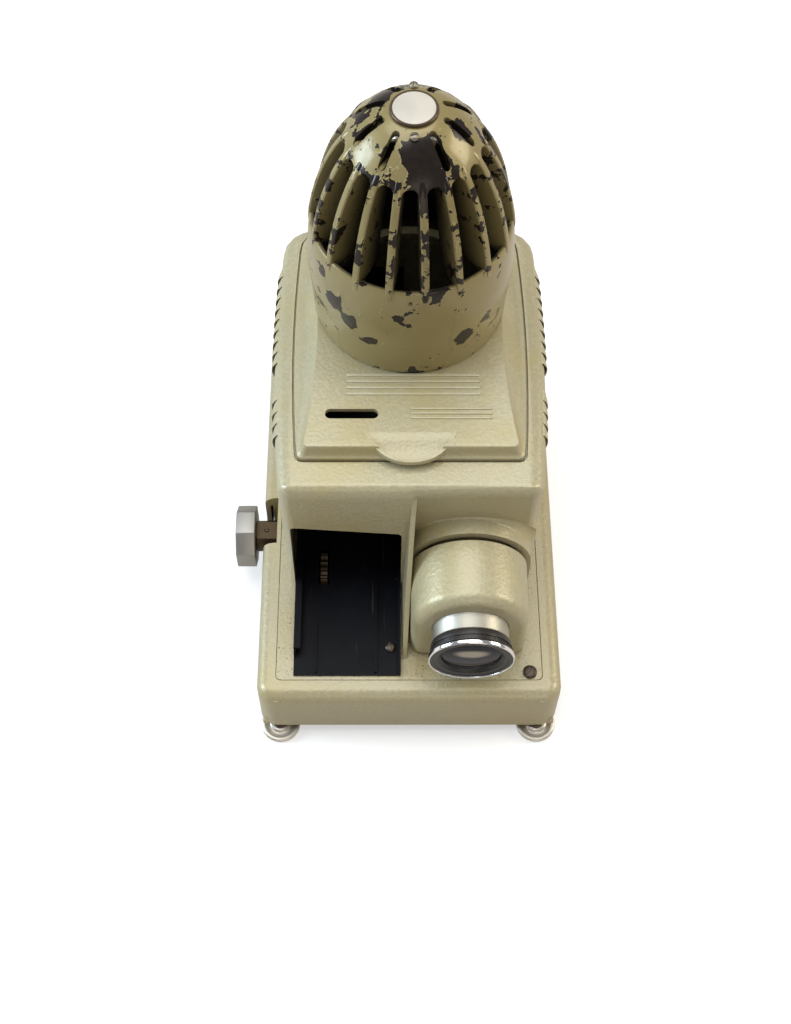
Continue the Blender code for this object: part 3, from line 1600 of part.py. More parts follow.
def rear_panel(switch_axis, button_axis):
    wall = BASE_BACK - BASE_WALL
    places = {name: (x, width, height) for name, x, width, height in panel_items()}
    for name in ("mains_inlet", "power_switch", "remote_socket"):
        x, width, height = places[name]
        body = rounded(x - width / 2, x + width / 2, PANEL_Z - height / 2, PANEL_Z + height / 2, 1.0, 3)
        made = prism(name, "Y", body, wall - 8, BASE_BACK + GAP, bakelite())
        flange = rounded(
            x - width / 2 - 2,
            x + width / 2 + 2,
            PANEL_Z - height / 2 - 2,
            PANEL_Z + height / 2 + 2,
            2.0,
            3,
        )
        weld(made, prism(name + "_flange", "Y", flange, BASE_BACK + GAP, BASE_BACK + GAP + 1.5))
        if name == "mains_inlet":
            hole = rounded(x - 10, x + 10, PANEL_Z - 6, PANEL_Z + 6, 2.0, 3)
            recess = prism("inlet_recess", "Y", hole, wall - 5, BASE_BACK + CUT)
            cut(made, recess)
            for place in (-1, 1):
                weld(
                    made,
                    cylinder(
                        f"inlet_pin_{place}",
                        "Y",
                        (x + place * 6, PANEL_Z),
                        1.6,
                        wall - 6,
                        BASE_BACK - 1,
                        steps=12,
                    ),
                )
        elif name == "remote_socket":
            cut(made, cylinder("remote_recess", "Y", (x, PANEL_Z), 5.0, wall - 5, BASE_BACK + CUT, steps=24))
        else:
            hole = rounded(x - 5, x + 5, PANEL_Z - 8, PANEL_Z + 8, 0.6, 3)
            cut(made, prism("switch_recess", "Y", hole, wall - 6, BASE_BACK + CUT))
    x = places["power_switch"][0]
    rocker = circle(BASE_BACK - 1.0, PANEL_Z, 4.0, 9, 90.0, 180.0)
    rocker += [(BASE_BACK + 2.4, PANEL_Z - 7.0), (BASE_BACK + 1.4, PANEL_Z), (BASE_BACK + 2.4, PANEL_Z + 7.0)]
    prism("power_switch_rocker", "X", rocker, x - 4.6, x + 4.6, bakelite(), switch_axis)
    x, width, _ = places["advance_button"]
    radius = width / 2 - GAP
    tip = BASE_BACK + BUTTON_PROUD
    cap = [
        (2.0, wall - 9),
        (2.0, wall - 7),
        (radius + 2, wall - 7),
        (radius + 2, wall - 4),
        (radius, wall - 4),
    ]
    cap += [(radius, tip - 0.8), (radius - 0.8, tip)]
    turned("advance_button", "Y", (x, PANEL_Z), cap, bakelite(), button_axis, steps=24)


def deck_screw():
    slotted_head(
        "deck_screw", "Z", deck_screw_place(), DECK_TOP - 9, DECK_TOP + GAP + 1.6, 4.0, blackened_steel()
    )


for old in list(bpy.data.objects):
    bpy.data.objects.remove(old)
ROOT = bpy.data.objects.new("projector", None)
ROOT.location = point(-MIDDLE_X, -MIDDLE_Y, 0.0)
bpy.context.scene.collection.objects.link(ROOT)

base_casting()
base_plate()
base_plate_screws()
deck_plate()
deck_screw()
front_foot("left", -1)
front_foot("right", 1)
rear_foot("left", -1)
rear_foot("right", 1)
upper_housing()
hinge_pins()
lid_axis = pivot("lid_axis", 0.0, HINGE_Y, HINGE_Z)
lid(lid_axis)
chimney(lid_axis)
badge(lid_axis)
crown_screws(lid_axis)
magazine_channel()
channel_screw()
tunnel_shield()
carriage_axis = pivot("carriage_axis", OPTIC_X, COWL_FRONT, OPTIC_Z)
lens_carriage(carriage_axis)
focus_rack(carriage_axis)
lens_parts(pivot("lens_axis", OPTIC_X, BAR_FRONT, OPTIC_Z))
focus_drive(pivot("focus_axis", KNOB_INNER, SHAFT_Y, SHAFT_Z))
focus_bearings()
changer(
    pivot("shuttle_axis", PUSHER_X, SLIDE_Y, ROD_Z),
    pivot("changer_axis", CHANGER_X, CHANGER_Y, CHANGER_Z),
)
transport(pivot("transport_axis", WHEEL_X, WHEEL_Y, DECK_TOP + GAP + TRAY_SHEET + WHEEL_PROUD - WHEEL_RADIUS))
slide_gate()
condenser_stack()
lamp_parts()
fan(pivot("fan_axis", OPTIC_X, LAMP_Y, PLATE_TOP))
switch_place = panel_items()[1][1]
button_place = panel_items()[3][1]
rear_panel(
    pivot("switch_axis", switch_place, BASE_BACK - 1.0, PANEL_Z),
    pivot("button_axis", button_place, BASE_BACK, PANEL_Z),
)
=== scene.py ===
# %% [markdown]
# A slide projector from the 1950s, dressed for a close look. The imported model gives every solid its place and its
# motion. This lesson builds the surfaces that an eye rests on: cast enamel, a finned chimney with flaking paint, a
# lens, turned feet and a black sheet-metal channel. Each step says what the real piece is and why it is made this way.

# %% Frame
import json
import math

import bmesh
import bpy
from mathutils import Matrix, Vector


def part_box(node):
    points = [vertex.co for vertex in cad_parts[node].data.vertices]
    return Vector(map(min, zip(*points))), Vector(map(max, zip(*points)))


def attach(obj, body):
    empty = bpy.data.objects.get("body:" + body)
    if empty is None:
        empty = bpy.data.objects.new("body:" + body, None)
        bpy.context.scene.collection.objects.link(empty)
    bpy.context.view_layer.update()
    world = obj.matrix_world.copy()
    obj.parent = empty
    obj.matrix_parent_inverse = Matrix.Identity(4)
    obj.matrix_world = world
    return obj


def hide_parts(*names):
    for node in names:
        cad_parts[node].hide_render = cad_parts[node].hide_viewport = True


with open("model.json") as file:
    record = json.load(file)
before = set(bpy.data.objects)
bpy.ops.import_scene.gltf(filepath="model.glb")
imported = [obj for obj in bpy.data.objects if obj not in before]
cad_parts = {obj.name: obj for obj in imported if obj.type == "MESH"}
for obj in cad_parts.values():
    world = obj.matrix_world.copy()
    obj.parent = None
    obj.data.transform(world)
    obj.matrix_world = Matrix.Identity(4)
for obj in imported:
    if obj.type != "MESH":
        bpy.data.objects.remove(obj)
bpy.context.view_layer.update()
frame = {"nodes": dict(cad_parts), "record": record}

MM = 0.001

# %% [markdown]
# All sizes below are in millimetres from one datum: the middle of the base, and the front of the lamp house's deck.
# The frame places that datum, so nothing here is fitted by eye.

# %% Places taken from the frame
base_low, base_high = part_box("base_casting")
SHIFT = Vector(((base_low.x + base_high.x) / 2, base_low.y + 0.1235, 0.0))


def at(x, y, z):
    """A point given in millimetres, in the frame's metres."""
    return Vector((x, y, z)) * MM + SHIFT


def span(node):
    """The lowest and highest corner of a CAD node, in millimetres."""
    low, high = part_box(node)
    return (low - SHIFT) / MM, (high - SHIFT) / MM


def middle(node):
    low, high = span(node)
    return (low + high) / 2


OPTIC = middle("lens_barrel")
BADGE = middle("badge")
BADGE_LOW, BADGE_HIGH = span("badge")
CARRIAGE_LOW, CARRIAGE_HIGH = span("lens_carriage")
OPTIC_RADIUS = CARRIAGE_HIGH.z - OPTIC.z
KNOB_LOW, KNOB_HIGH = span("focus_knob")
KNOB = middle("focus_knob")
HOUSING_HIGH_Z = 154.0
WALL_FOOT_Y = -38.5
WALL_HEAD_Y = -48.0
DIVIDER_FOOT_X = -2.7
SIDE_LIMIT = 71.5
HOUSING_LOW, HOUSING_HIGH = span("upper_housing")
LID_LOW, LID_HIGH = span("lid")
CHIMNEY_LOW, CHIMNEY_HIGH = span("chimney")
DECK_TOP = span("deck_plate")[1].z
print("optical axis at", [round(v, 1) for v in OPTIC], "deck at", round(DECK_TOP, 1))

# %% [markdown]
# A camera comes first, because it decides which surfaces matter most. It stands in front and well above, looking
# down by about sixty degrees, which is how such a machine is seen on a table.

# %% Camera
PITCH, YAW, ROLL = (math.radians(v) for v in (60.5, 0.894, 0.805))
forward = Vector((math.sin(YAW) * math.cos(PITCH), math.cos(YAW) * math.cos(PITCH), -math.sin(PITCH)))
level = Vector((math.cos(YAW), -math.sin(YAW), 0.0))
raised = level.cross(forward)
right = level * math.cos(ROLL) + raised * math.sin(ROLL)
up = raised * math.cos(ROLL) - level * math.sin(ROLL)
camera = bpy.data.objects.new("camera", bpy.data.cameras.new("camera"))
bpy.context.scene.collection.objects.link(camera)
turn = Matrix((right, up, -forward)).transposed().to_4x4()
camera.matrix_world = Matrix.Translation(at(-14.4, -444.9, 833.4)) @ turn
camera.data.sensor_fit = "VERTICAL"
camera.data.sensor_height = 36.0
camera.data.lens = 52.0
camera.data.clip_start = 0.01
camera.data.clip_end = 50.0
bpy.context.scene.camera = camera
print("camera at", [round(v, 3) for v in camera.location])


# %% [markdown]
# Finishes are built from nodes. Node trees are easier to read as sums, so a small class wraps a socket and turns
# Python's operators into Math nodes. A second class holds one finish: its constants sit on the shader itself, and
# only what changes over the surface is linked.

# %% Socket arithmetic
class Wire:
    """One output of a node tree, with arithmetic."""

    def __init__(self, tree, socket):
        self.tree = tree
        self.socket = socket

    def math(self, operation, other=0.0, flip=False):
        node = self.tree.nodes.new("ShaderNodeMath")
        node.operation = operation
        pair = (other, self) if flip else (self, other)
        for place, value in enumerate(pair):
            if isinstance(value, Wire):
                self.tree.links.new(value.socket, node.inputs[place])
            else:
                node.inputs[place].default_value = value
        return Wire(self.tree, node.outputs[0])

    def __add__(self, other):
        return self.math("ADD", other)

    def __radd__(self, other):
        return self.math("ADD", other, True)

    def __sub__(self, other):
        return self.math("SUBTRACT", other)

    def __rsub__(self, other):
        return self.math("SUBTRACT", other, True)

    def __mul__(self, other):
        return self.math("MULTIPLY", other)

    def __rmul__(self, other):
        return self.math("MULTIPLY", other, True)

    def __truediv__(self, other):
        return self.math("DIVIDE", other)

    def __pow__(self, other):
        return self.math("POWER", other)

    def high(self, other):
        return self.math("MAXIMUM", other)

    def low(self, other):
        return self.math("MINIMUM", other)


# %% One finish
class Finish:
    """A material with its Principled shader; varying sockets are fed from nodes."""

    def __init__(self, name, colour, roughness, metallic=0.0, **constants):
        self.material = bpy.data.materials.new(name)
        self.material.use_nodes = True
        self.tree = self.material.node_tree
        self.shader = self.tree.nodes["Principled BSDF"]
        self.shader.inputs["Base Color"].default_value = (*colour, 1.0)
        self.shader.inputs["Roughness"].default_value = roughness
        self.shader.inputs["Metallic"].default_value = metallic
        for socket, value in constants.items():
            self.shader.inputs[socket.replace("_", " ")].default_value = value
        self.place = self.node("ShaderNodeTexCoord", out="Object")

    def node(self, kind, settings=None, inputs=None, out=0):
        made = self.tree.nodes.new(kind)
        for key, value in (settings or {}).items():
            setattr(made, key, value)
        for key, value in (inputs or {}).items():
            if isinstance(value, Wire):
                self.tree.links.new(value.socket, made.inputs[key])
            else:
                made.inputs[key].default_value = value
        return Wire(self.tree, made.outputs[out])

    def noise(self, scale, detail=2.0, roughness=0.5, stretch=None, shift=(0.0, 0.0, 0.0)):
        """Noise from 0 to 1. scale is in features per metre; stretch scales each axis first."""
        vector = self.node("ShaderNodeMapping", None, {"Vector": self.place, "Scale": stretch or (1, 1, 1), "Location": shift})
        return self.node("ShaderNodeTexNoise", None, {"Vector": vector, "Scale": scale, "Detail": detail, "Roughness": roughness})

    def cells(self, scale, smooth=0.6, wander=0.0):
        """Distance to the nearest cell centre, rounded, as in paint that has crawled into pools."""
        vector = self.place
        if wander:
            drift = self.node("ShaderNodeTexNoise", None, {"Vector": self.place, "Scale": scale * 0.7, "Detail": 1.0}, "Color")
            drift = self.node("ShaderNodeVectorMath", {"operation": "SCALE"}, {0: drift, "Scale": wander})
            vector = self.node("ShaderNodeVectorMath", {"operation": "ADD"}, {0: self.place, 1: drift})
        return self.node("ShaderNodeTexVoronoi", {"feature": "SMOOTH_F1"}, {"Vector": vector, "Scale": scale, "Smoothness": smooth})

    def step(self, value, low, high):
        """0 below low, 1 above high, smooth between."""
        sockets = {"Value": value, "From Min": low, "From Max": high}
        return self.node("ShaderNodeMapRange", {"interpolation_type": "SMOOTHSTEP"}, sockets)

    def blend(self, share, first, second):
        """A colour between two, each a colour or a wire."""
        sides = {}
        for place, value in ((6, first), (7, second)):
            sides[place] = value if isinstance(value, Wire) else (*value, 1.0)
        return self.node("ShaderNodeMix", {"data_type": "RGBA"}, {0: share, **sides}, 2)

    def axis(self, name):
        return self.node("ShaderNodeSeparateXYZ", None, {0: self.place}, name)

    def attribute(self, name):
        return self.node("ShaderNodeAttribute", {"attribute_name": name}, None, "Fac")

    def spot(self, x, y, z, radius):
        """1 at a point given in millimetres, falling to 0 at a radius."""
        gap = self.node("ShaderNodeVectorMath", {"operation": "DISTANCE"}, {0: self.place, 1: at(x, y, z)}, "Value")
        return self.step(gap * (1.0 / (radius * MM)), 1.0, 0.35)

    def feed(self, socket, wire):
        self.tree.links.new(wire.socket, self.shader.inputs[socket])

    def bump(self, height, depth, strength=1.0):
        """Relief: depth is the height in metres that a height of 1 stands for."""
        self.feed("Normal", self.node("ShaderNodeBump", None, {"Height": height, "Distance": depth, "Strength": strength}))


# %% [markdown]
# Hammertone enamel is a metallic paint with an additive that makes it pull into small shallow pools, each two or
# three millimetres across, with a brighter rim. Rounded Voronoi cells give that relief. Slow noise varies the tint,
# because old enamel yellows unevenly, and small specks stand for seventy years of dust and scuffs.

# %% Hammertone enamel
def hammertone(name, tint, pool=560.0, dirt=0.0, seed=0.0):
    made = Finish(name, tint, 0.36, 0.2, Coat_Weight=0.3, Coat_Roughness=0.2)
    pools = made.cells(pool, 0.8, 0.0011)
    rim = made.step(pools, 0.25, 0.75)
    drift = made.noise(22.0, 3.0, 0.6, shift=(seed, 0.3, 0.1))
    fine = made.noise(1500.0, 2.0, 0.7, shift=(seed, 0, 0))
    dark = tuple(v * 0.85 for v in tint)
    pale = tuple(min(v * 1.10, 1.0) for v in tint)
    colour = made.blend(rim * 0.35 + drift * 0.3 + fine * 0.35, dark, pale)
    yellow = (tint[0] * 0.95, tint[1] * 0.90, tint[2] * 0.70)
    colour = made.blend(made.step(drift, 0.44, 0.70) * 0.7, colour, yellow)
    specks = made.step(made.noise(620.0, 3.0, 0.65, shift=(0, seed, 0)), 0.665 - 0.065 * dirt, 0.725 - 0.065 * dirt)
    patches = made.step(made.noise(36.0, 3.0, 0.6, shift=(seed, seed, 0)), 0.46 - 0.1 * dirt, 0.68 - 0.06 * dirt)
    soil = (specks * patches * (0.6 + 0.3 * dirt)).low(1.0)
    colour = made.blend(soil, colour, (0.085, 0.065, 0.04))
    made.feed("Base Color", colour)
    made.feed("Roughness", 0.34 + rim * 0.05 + fine * 0.10 + soil * 0.3)
    made.feed("Metallic", 0.2 - soil * 0.18)
    made.bump(rim * 0.7 + fine * 0.3 - soil * 0.3, 0.00011)
    return made.material


CHAMPAGNE = (0.485, 0.44, 0.285)
ENAMEL = hammertone("hammertone_enamel", CHAMPAGNE)
DECK_ENAMEL = hammertone("deck_enamel", (0.48, 0.43, 0.28), dirt=1.0, seed=3.1)
BASE_ENAMEL = hammertone("base_enamel", (0.475, 0.42, 0.265), dirt=0.4, seed=5.7)
print("hammertone finishes:", ENAMEL.name, DECK_ENAMEL.name, BASE_ENAMEL.name)


# %% [markdown]
# The chimney gets hot, so its smoother enamel has let go. Where it has flaked, a dark brown-black casting shows, and
# round each bare patch the paint's edge stands up a little. The mask is noise with hard edges. It is biased towards
# edges by an attribute stored on the mesh, and towards a few places where the paint came off in sheets.

# %% Flaking enamel
PEELED = (
    (-17.0, 13.0, 305.0, 10.0, 0.85), (-25.0, 4.0, 301.0, 7.0, 0.7), (24.0, -6.0, 302.0, 9.0, 0.62),
    (-41.0, -36.0, 208.0, 9.0, 0.9), (-32.0, -44.0, 200.0, 9.0, 0.78), (-22.0, -49.0, 190.0, 7.0, 0.8),
    (28.0, -47.0, 190.0, 8.0, 0.95), (-46.0, -28.0, 222.0, 6.0, 0.7), (40.0, -38.0, 196.0, 6.0, 0.7),
)


def flaking_enamel(name, tint):
    made = Finish(name, tint, 0.36, 0.12, Coat_Roughness=0.14, Specular_IOR_Level=0.3)
    wear = made.attribute("wear")
    ragged = made.noise(95.0, 5.0, 0.62)
    islands = made.noise(38.0, 2.0, 0.5, shift=(0.4, 0.1, 0.7))
    front = BADGE.y - 22.0
    sheets = made.spot(4.0, front - 4.0, 303.0, 15.0)
    sheets = sheets.high(made.spot(7.0, front - 14.0, 296.0, 15.0))
    for x, y, z, radius, share in PEELED:
        sheets = sheets.high(made.spot(x, BADGE.y + y, z, radius) * share)
    chips = made.step(made.noise(170.0, 4.0, 0.6, shift=(0.7, 0.2, 0.9)), 0.58, 0.76)
    scales = made.cells(210.0, 0.05, 0.003)
    edge = ragged * 0.62 + islands * 0.38 + wear * 0.11 + sheets * 0.29 + chips * 0.15 + scales * 0.16 - 0.085
    bare = made.step(edge, 0.622, 0.630)
    lifted = made.step(edge, 0.585, 0.622) - bare
    drift = made.noise(30.0, 3.0, 0.6)
    colour = made.blend(drift, tuple(v * 0.86 for v in tint), tuple(min(v * 1.14, 1.0) for v in tint))
    streaks = made.step(made.noise(140.0, 3.0, 0.6, stretch=(1.0, 1.0, 0.18)), 0.55, 0.8)
    colour = made.blend(streaks * 0.35, colour, (0.17, 0.135, 0.07))
    colour = made.blend(lifted.high(0.0) * 0.55, colour, tuple(min(v * 1.5, 1.0) for v in tint))
    under = made.blend(made.noise(300.0, 3.0), (0.006, 0.005, 0.005), (0.026, 0.016, 0.011))
    # Painted shade: the chimney's inner skin and the inner edges of its fins turn near-black, where shade falls inside
    # the chimney.
    painted_inner_shade = made.attribute("painted_inner_shade")
    colour = made.blend(painted_inner_shade, made.blend(bare, colour, under), (0.010, 0.008, 0.006))
    made.feed("Base Color", colour)
    made.feed("Roughness", 0.34 + streaks * 0.12 - bare * 0.10 + painted_inner_shade * 0.4)
    made.feed("Metallic", 0.14 - bare * 0.13)
    made.feed("Coat Weight", 0.5 - bare * 0.42)
    fine = made.noise(900.0, 2.0)
    made.bump(fine * 0.12 + lifted * 0.6 - bare * 1.0, 0.00035)
    return made.material


CHIMNEY_ENAMEL = flaking_enamel("chimney_enamel", (0.29, 0.235, 0.10))
print("flaking finish:", CHIMNEY_ENAMEL.name)


# %% [markdown]
# Bare metals differ by how they were worked. A lathe leaves rings round its axis, and a grinder leaves straight
# lines. Both are noise that is stretched, along one axis or along the distance from an axis, and it drives the
# roughness and a very shallow bump.

# %% Metals
def straight_lines(name, tint, roughness, stretch, metallic=1.0):
    made = Finish(name, tint, roughness, metallic)
    lines = made.noise(260.0, 3.0, 0.6, stretch=stretch)
    drift = made.noise(40.0, 2.0)
    dark = tuple(v * 0.8 for v in tint)
    made.feed("Base Color", made.blend(lines * 0.6 + drift * 0.4, dark, tint))
    made.feed("Roughness", lines * 0.16 + drift * 0.10 + (roughness - 0.1))
    made.bump(lines, 0.00004)
    return made.material


def turned_rings(name, tint, roughness, node, axis, metallic=1.0):
    """Rings round an axis through the middle of a CAD node."""
    made = Finish(name, tint, roughness, metallic)
    centre = at(*middle(node))
    flat = {"X": (0, 1, 1), "Y": (1, 0, 1), "Z": (1, 1, 0)}[axis]
    away = made.node("ShaderNodeVectorMath", {"operation": "SUBTRACT"}, {0: made.place, 1: centre})
    away = made.node("ShaderNodeVectorMath", {"operation": "MULTIPLY"}, {0: away, 1: flat})
    reach = made.node("ShaderNodeVectorMath", {"operation": "LENGTH"}, {0: away}, "Value")
    place = made.node("ShaderNodeCombineXYZ", None, {0: reach, 1: made.axis(axis)})
    rings = made.node("ShaderNodeTexNoise", None, {"Vector": place, "Scale": 2200.0, "Detail": 2.0})
    drift = made.noise(60.0, 3.0)
    made.feed("Base Color", made.blend(drift, tuple(v * 0.84 for v in tint), tint))
    made.feed("Roughness", rings * 0.18 + drift * 0.12 + (roughness - 0.14))
    made.bump(rings, 0.00005)
    return made.material


def plain_metal(name, tint, roughness, metallic=1.0, grime=0.3):
    made = Finish(name, tint, roughness, metallic)
    drift = made.noise(70.0, 4.0, 0.6)
    fine = made.noise(900.0, 3.0, 0.6)
    soil = made.step(drift, 0.5, 0.8) * grime
    made.feed("Base Color", made.blend(soil, tint, tuple(v * 0.35 for v in tint)))
    made.feed("Roughness", fine * 0.14 + soil * 0.4 + (roughness - 0.06))
    made.bump(fine, 0.00003)
    return made.material


KNOB_METAL = straight_lines("knob_brushed_aluminium", (0.44, 0.43, 0.41), 0.42, (0.06, 1.0, 1.0))
BARREL_METAL = turned_rings("barrel_aluminium", (0.52, 0.50, 0.43), 0.46, "lens_barrel", "Y")
FOOT_METALS = {side: turned_rings("foot_aluminium_" + side, (0.78, 0.74, 0.66), 0.42, "foot_disc_" + side, "Z") for side in ("left", "right")}
CHROME = plain_metal("chrome_plate", (0.86, 0.86, 0.88), 0.1, grime=0.1)
STEEL = plain_metal("turned_steel", (0.50, 0.49, 0.47), 0.32)
DARK_STEEL = plain_metal("blackened_steel", (0.09, 0.07, 0.055), 0.38, 0.9)
NICKEL = plain_metal("dull_nickel", (0.30, 0.27, 0.21), 0.45)
BRASS = plain_metal("machined_brass", (0.70, 0.47, 0.20), 0.3)
BRONZE = plain_metal("dark_bronze", (0.10, 0.07, 0.045), 0.42, 0.8)
HUB_METAL = turned_rings("hub_steel", (0.085, 0.062, 0.04), 0.36, "focus_hub", "X")
print("metals:", [m.name for m in (KNOB_METAL, BARREL_METAL, CHROME, STEEL, DARK_STEEL, BRASS, HUB_METAL)])


# %% [markdown]
# The channel is folded sheet with a satin black coat. Magazines have slid over it for decades, so its floor carries
# long fine scratches along the travel, a few bare spots, and patches of dust.

# %% Black coats and mouldings
def black_sheet(name, rub=1.0):
    made = Finish(name, (0.008, 0.008, 0.011), 0.42, 0.0, Specular_IOR_Level=0.12)
    along = made.noise(420.0, 3.0, 0.7, stretch=(1.0, 0.035, 1.0))
    cross = made.noise(300.0, 4.0, 0.7, stretch=(1.0, 0.3, 1.0), shift=(0.2, 0.5, 0.0))
    scratches = made.step(along, 0.66, 0.74) * rub
    bare = made.step(made.noise(85.0, 4.0, 0.6, shift=(0.9, 0.2, 0.0)) * 0.7 + cross * 0.3, 0.66, 0.69) * rub
    dust = made.step(made.noise(60.0, 4.0, 0.7), 0.5, 0.8)
    colour = made.blend(dust * 0.35, (0.003, 0.0035, 0.006), (0.010, 0.0095, 0.009))
    colour = made.blend(scratches * 0.5, colour, (0.06, 0.056, 0.05))
    colour = made.blend(bare * 0.8, colour, (0.16, 0.10, 0.06))
    made.feed("Base Color", colour)
    made.feed("Roughness", 0.40 + dust * 0.22 + scratches * 0.15 + cross * 0.08)
    made.bump(cross * 0.3 - scratches * 0.5 - bare * 0.6, 0.00012)
    return made.material


def moulding(name, tint, roughness, grain=900.0, depth=0.00004):
    made = Finish(name, tint, roughness, 0.0)
    fine = made.noise(grain, 3.0, 0.6)
    drift = made.noise(50.0, 3.0)
    made.feed("Base Color", made.blend(drift, tuple(v * 0.75 for v in tint), tuple(min(v * 1.25, 1.0) for v in tint)))
    made.feed("Roughness", fine * 0.14 + drift * 0.1 + (roughness - 0.1))
    made.bump(fine, depth)
    return made.material


CHANNEL_BLACK = black_sheet("channel_black")
PLATE_BLACK = black_sheet("plate_black", 0.25)
BAKELITE = moulding("bakelite", (0.022, 0.018, 0.016), 0.34)
RUBBER = moulding("rubber", (0.022, 0.022, 0.022), 0.72, 1400.0, 0.00008)
CERAMIC = moulding("ceramic", (0.72, 0.69, 0.61), 0.55)
ORNAMENT = hammertone("ornament_enamel", (0.54, 0.50, 0.36), pool=900.0)
NAME_RING = moulding("name_ring_black", (0.014, 0.014, 0.015), 0.32)
BADGE_ENAMEL = moulding("badge_enamel", (0.60, 0.565, 0.49), 0.3, 500.0)
# Painted shade: near-black pieces stand in for the shade in the gills' open mouths.
VENT_MOUTH_SHADE = moulding("vent_shadow", (0.004, 0.004, 0.004), 0.9)
print("coats:", CHANNEL_BLACK.name, PLATE_BLACK.name, BAKELITE.name, RUBBER.name)


# %% [markdown]
# A projection lens looks dark from in front, because its coated glass lets nearly all light through to a black
# barrel. What the eye catches is a faint violet-blue reflection; here it is a painted reflection in the glass's
# colour, stronger towards the glancing edge, with a pale painted reflection near the top of the front element. The
# lamp and condensers are clear glass.

# %% Glass
def glass(name, tint, roughness=0.02, coat=0.0, alpha=1.0):
    made = Finish(name, tint, roughness, 0.0, Transmission_Weight=1.0, IOR=1.5, Coat_Weight=coat)
    haze = made.noise(90.0, 3.0, 0.6)
    made.feed("Roughness", haze * 0.05 + roughness)
    return made.material


def coated_glass(name):
    made = Finish(name, (0.006, 0.007, 0.012), 0.04, 0.0, Specular_IOR_Level=0.2)
    # Painted reflection: the colour turns a faint violet-blue towards the glancing edge.
    edge = made.node("ShaderNodeLayerWeight", None, {"Blend": 0.35}, "Facing")
    haze = made.noise(110.0, 4.0, 0.6)
    colour = made.blend(edge, (0.004, 0.005, 0.010), (0.030, 0.026, 0.060))
    colour = made.blend(made.step(haze, 0.5, 0.85) * 0.2, colour, (0.05, 0.05, 0.055))
    # Painted reflection: a pale band near the top of the front element, mixed into the base colour.
    centre = at(OPTIC.x, span("front_lens_element")[0].y, OPTIC.z + 5.5)
    away = made.node("ShaderNodeVectorMath", {"operation": "SUBTRACT"}, {0: made.place, 1: centre})
    away = made.node("ShaderNodeVectorMath", {"operation": "MULTIPLY"}, {0: away, 1: (0.42, 0.6, 1.0)})
    reach = made.node("ShaderNodeVectorMath", {"operation": "LENGTH"}, {0: away}, "Value")
    painted_reflection = made.step(reach, 0.0050, 0.0022)
    made.feed("Base Color", made.blend(painted_reflection * 0.8, colour, (0.62, 0.57, 0.48)))
    made.feed("Roughness", haze * 0.06 + 0.02)
    return made.material


CLEAR_GLASS = glass("clear_glass", (0.93, 0.96, 0.96))
HEAT_GLASS = glass("heat_absorbing_glass", (0.72, 0.90, 0.84))
COATED_GLASS = coated_glass("coated_glass")
print("glass:", CLEAR_GLASS.name, HEAT_GLASS.name, COATED_GLASS.name)


# %% [markdown]
# Almost every piece is a loft: closed outlines stacked into a skin. One function joins the outlines, and others turn
# a profile about an axis or cut one mesh with another. Cuts are applied at once, so that each piece ends as a plain
# mesh whose object sits at the origin.

# %% Mesh helpers
def mesh_object(name, bm, smooth=35.0):
    """The bmesh as an object at the origin, its faces pointing out and its round parts smooth."""
    bmesh.ops.remove_doubles(bm, verts=bm.verts, dist=1e-6)
    bmesh.ops.recalc_face_normals(bm, faces=bm.faces)
    mesh = bpy.data.meshes.new(name)
    bm.to_mesh(mesh)
    bm.free()
    mesh.shade_smooth()
    mesh.set_sharp_from_angle(angle=math.radians(smooth))
    made = bpy.data.objects.new(name, mesh)
    bpy.context.scene.collection.objects.link(made)
    return made


def loft(name, rings, around=False, caps=True, smooth=35.0):
    """Outlines of (x, y, z) in millimetres, all with as many points, joined into a skin."""
    bm = bmesh.new()
    loops = [[bm.verts.new(at(*point)) for point in ring] for ring in rings]
    pairs = list(zip(loops, loops[1:]))
    if around:
        pairs.append((loops[-1], loops[0]))
    elif caps:
        bm.faces.new(loops[0])
        bm.faces.new(loops[-1])
    for low, high in pairs:
        for i in range(len(low)):
            j = (i + 1) % len(low)
            bm.faces.new((low[i], low[j], high[j], high[i]))
    return mesh_object(name, bm, smooth)


def placed(axis, along, u, v):
    return {"X": (along, u, v), "Y": (u, along, v), "Z": (u, v, along)}[axis]


def arc(u, v, radius, steps, start=0.0, sweep=360.0):
    """Points round a circle, or along an arc with both its ends."""
    last = steps if sweep == 360.0 else steps - 1
    angles = [math.radians(start + sweep * i / last) for i in range(steps)]
    return [(u + radius * math.cos(a), v + radius * math.sin(a)) for a in angles]


def turned(name, axis, centre, profile, steps=96, around=False, smooth=35.0):
    """A turned piece; the profile holds (radius, distance along the axis)."""
    rings = [[placed(axis, along, u, v) for u, v in arc(*centre, radius, steps)] for radius, along in profile]
    return loft(name, rings, around, True, smooth)


def prism(name, axis, outline, start, end, smooth=35.0):
    return loft(name, [[placed(axis, along, u, v) for u, v in outline] for along in (start, end)], smooth=smooth)


def rounded(x0, x1, y0, y1, radius, steps=6):
    corners = ((x1, y0, -90.0, -1, 1), (x1, y1, 0.0, -1, -1), (x0, y1, 90.0, 1, -1), (x0, y0, 180.0, 1, 1))
    points = []
    for x, y, start, dx, dy in corners:
        points += arc(x + dx * radius, y + dy * radius, radius, steps, start, 90.0)
    return points


def fixed(obj, smooth=35.0):
    """Turns what the modifiers make into the object's own mesh."""
    graph = bpy.context.evaluated_depsgraph_get()
    old = obj.data
    obj.data = bpy.data.meshes.new_from_object(obj.evaluated_get(graph))
    obj.modifiers.clear()
    bpy.data.meshes.remove(old)
    obj.data.name = obj.name
    obj.data.shade_smooth()
    obj.data.set_sharp_from_angle(angle=math.radians(smooth))
    return obj


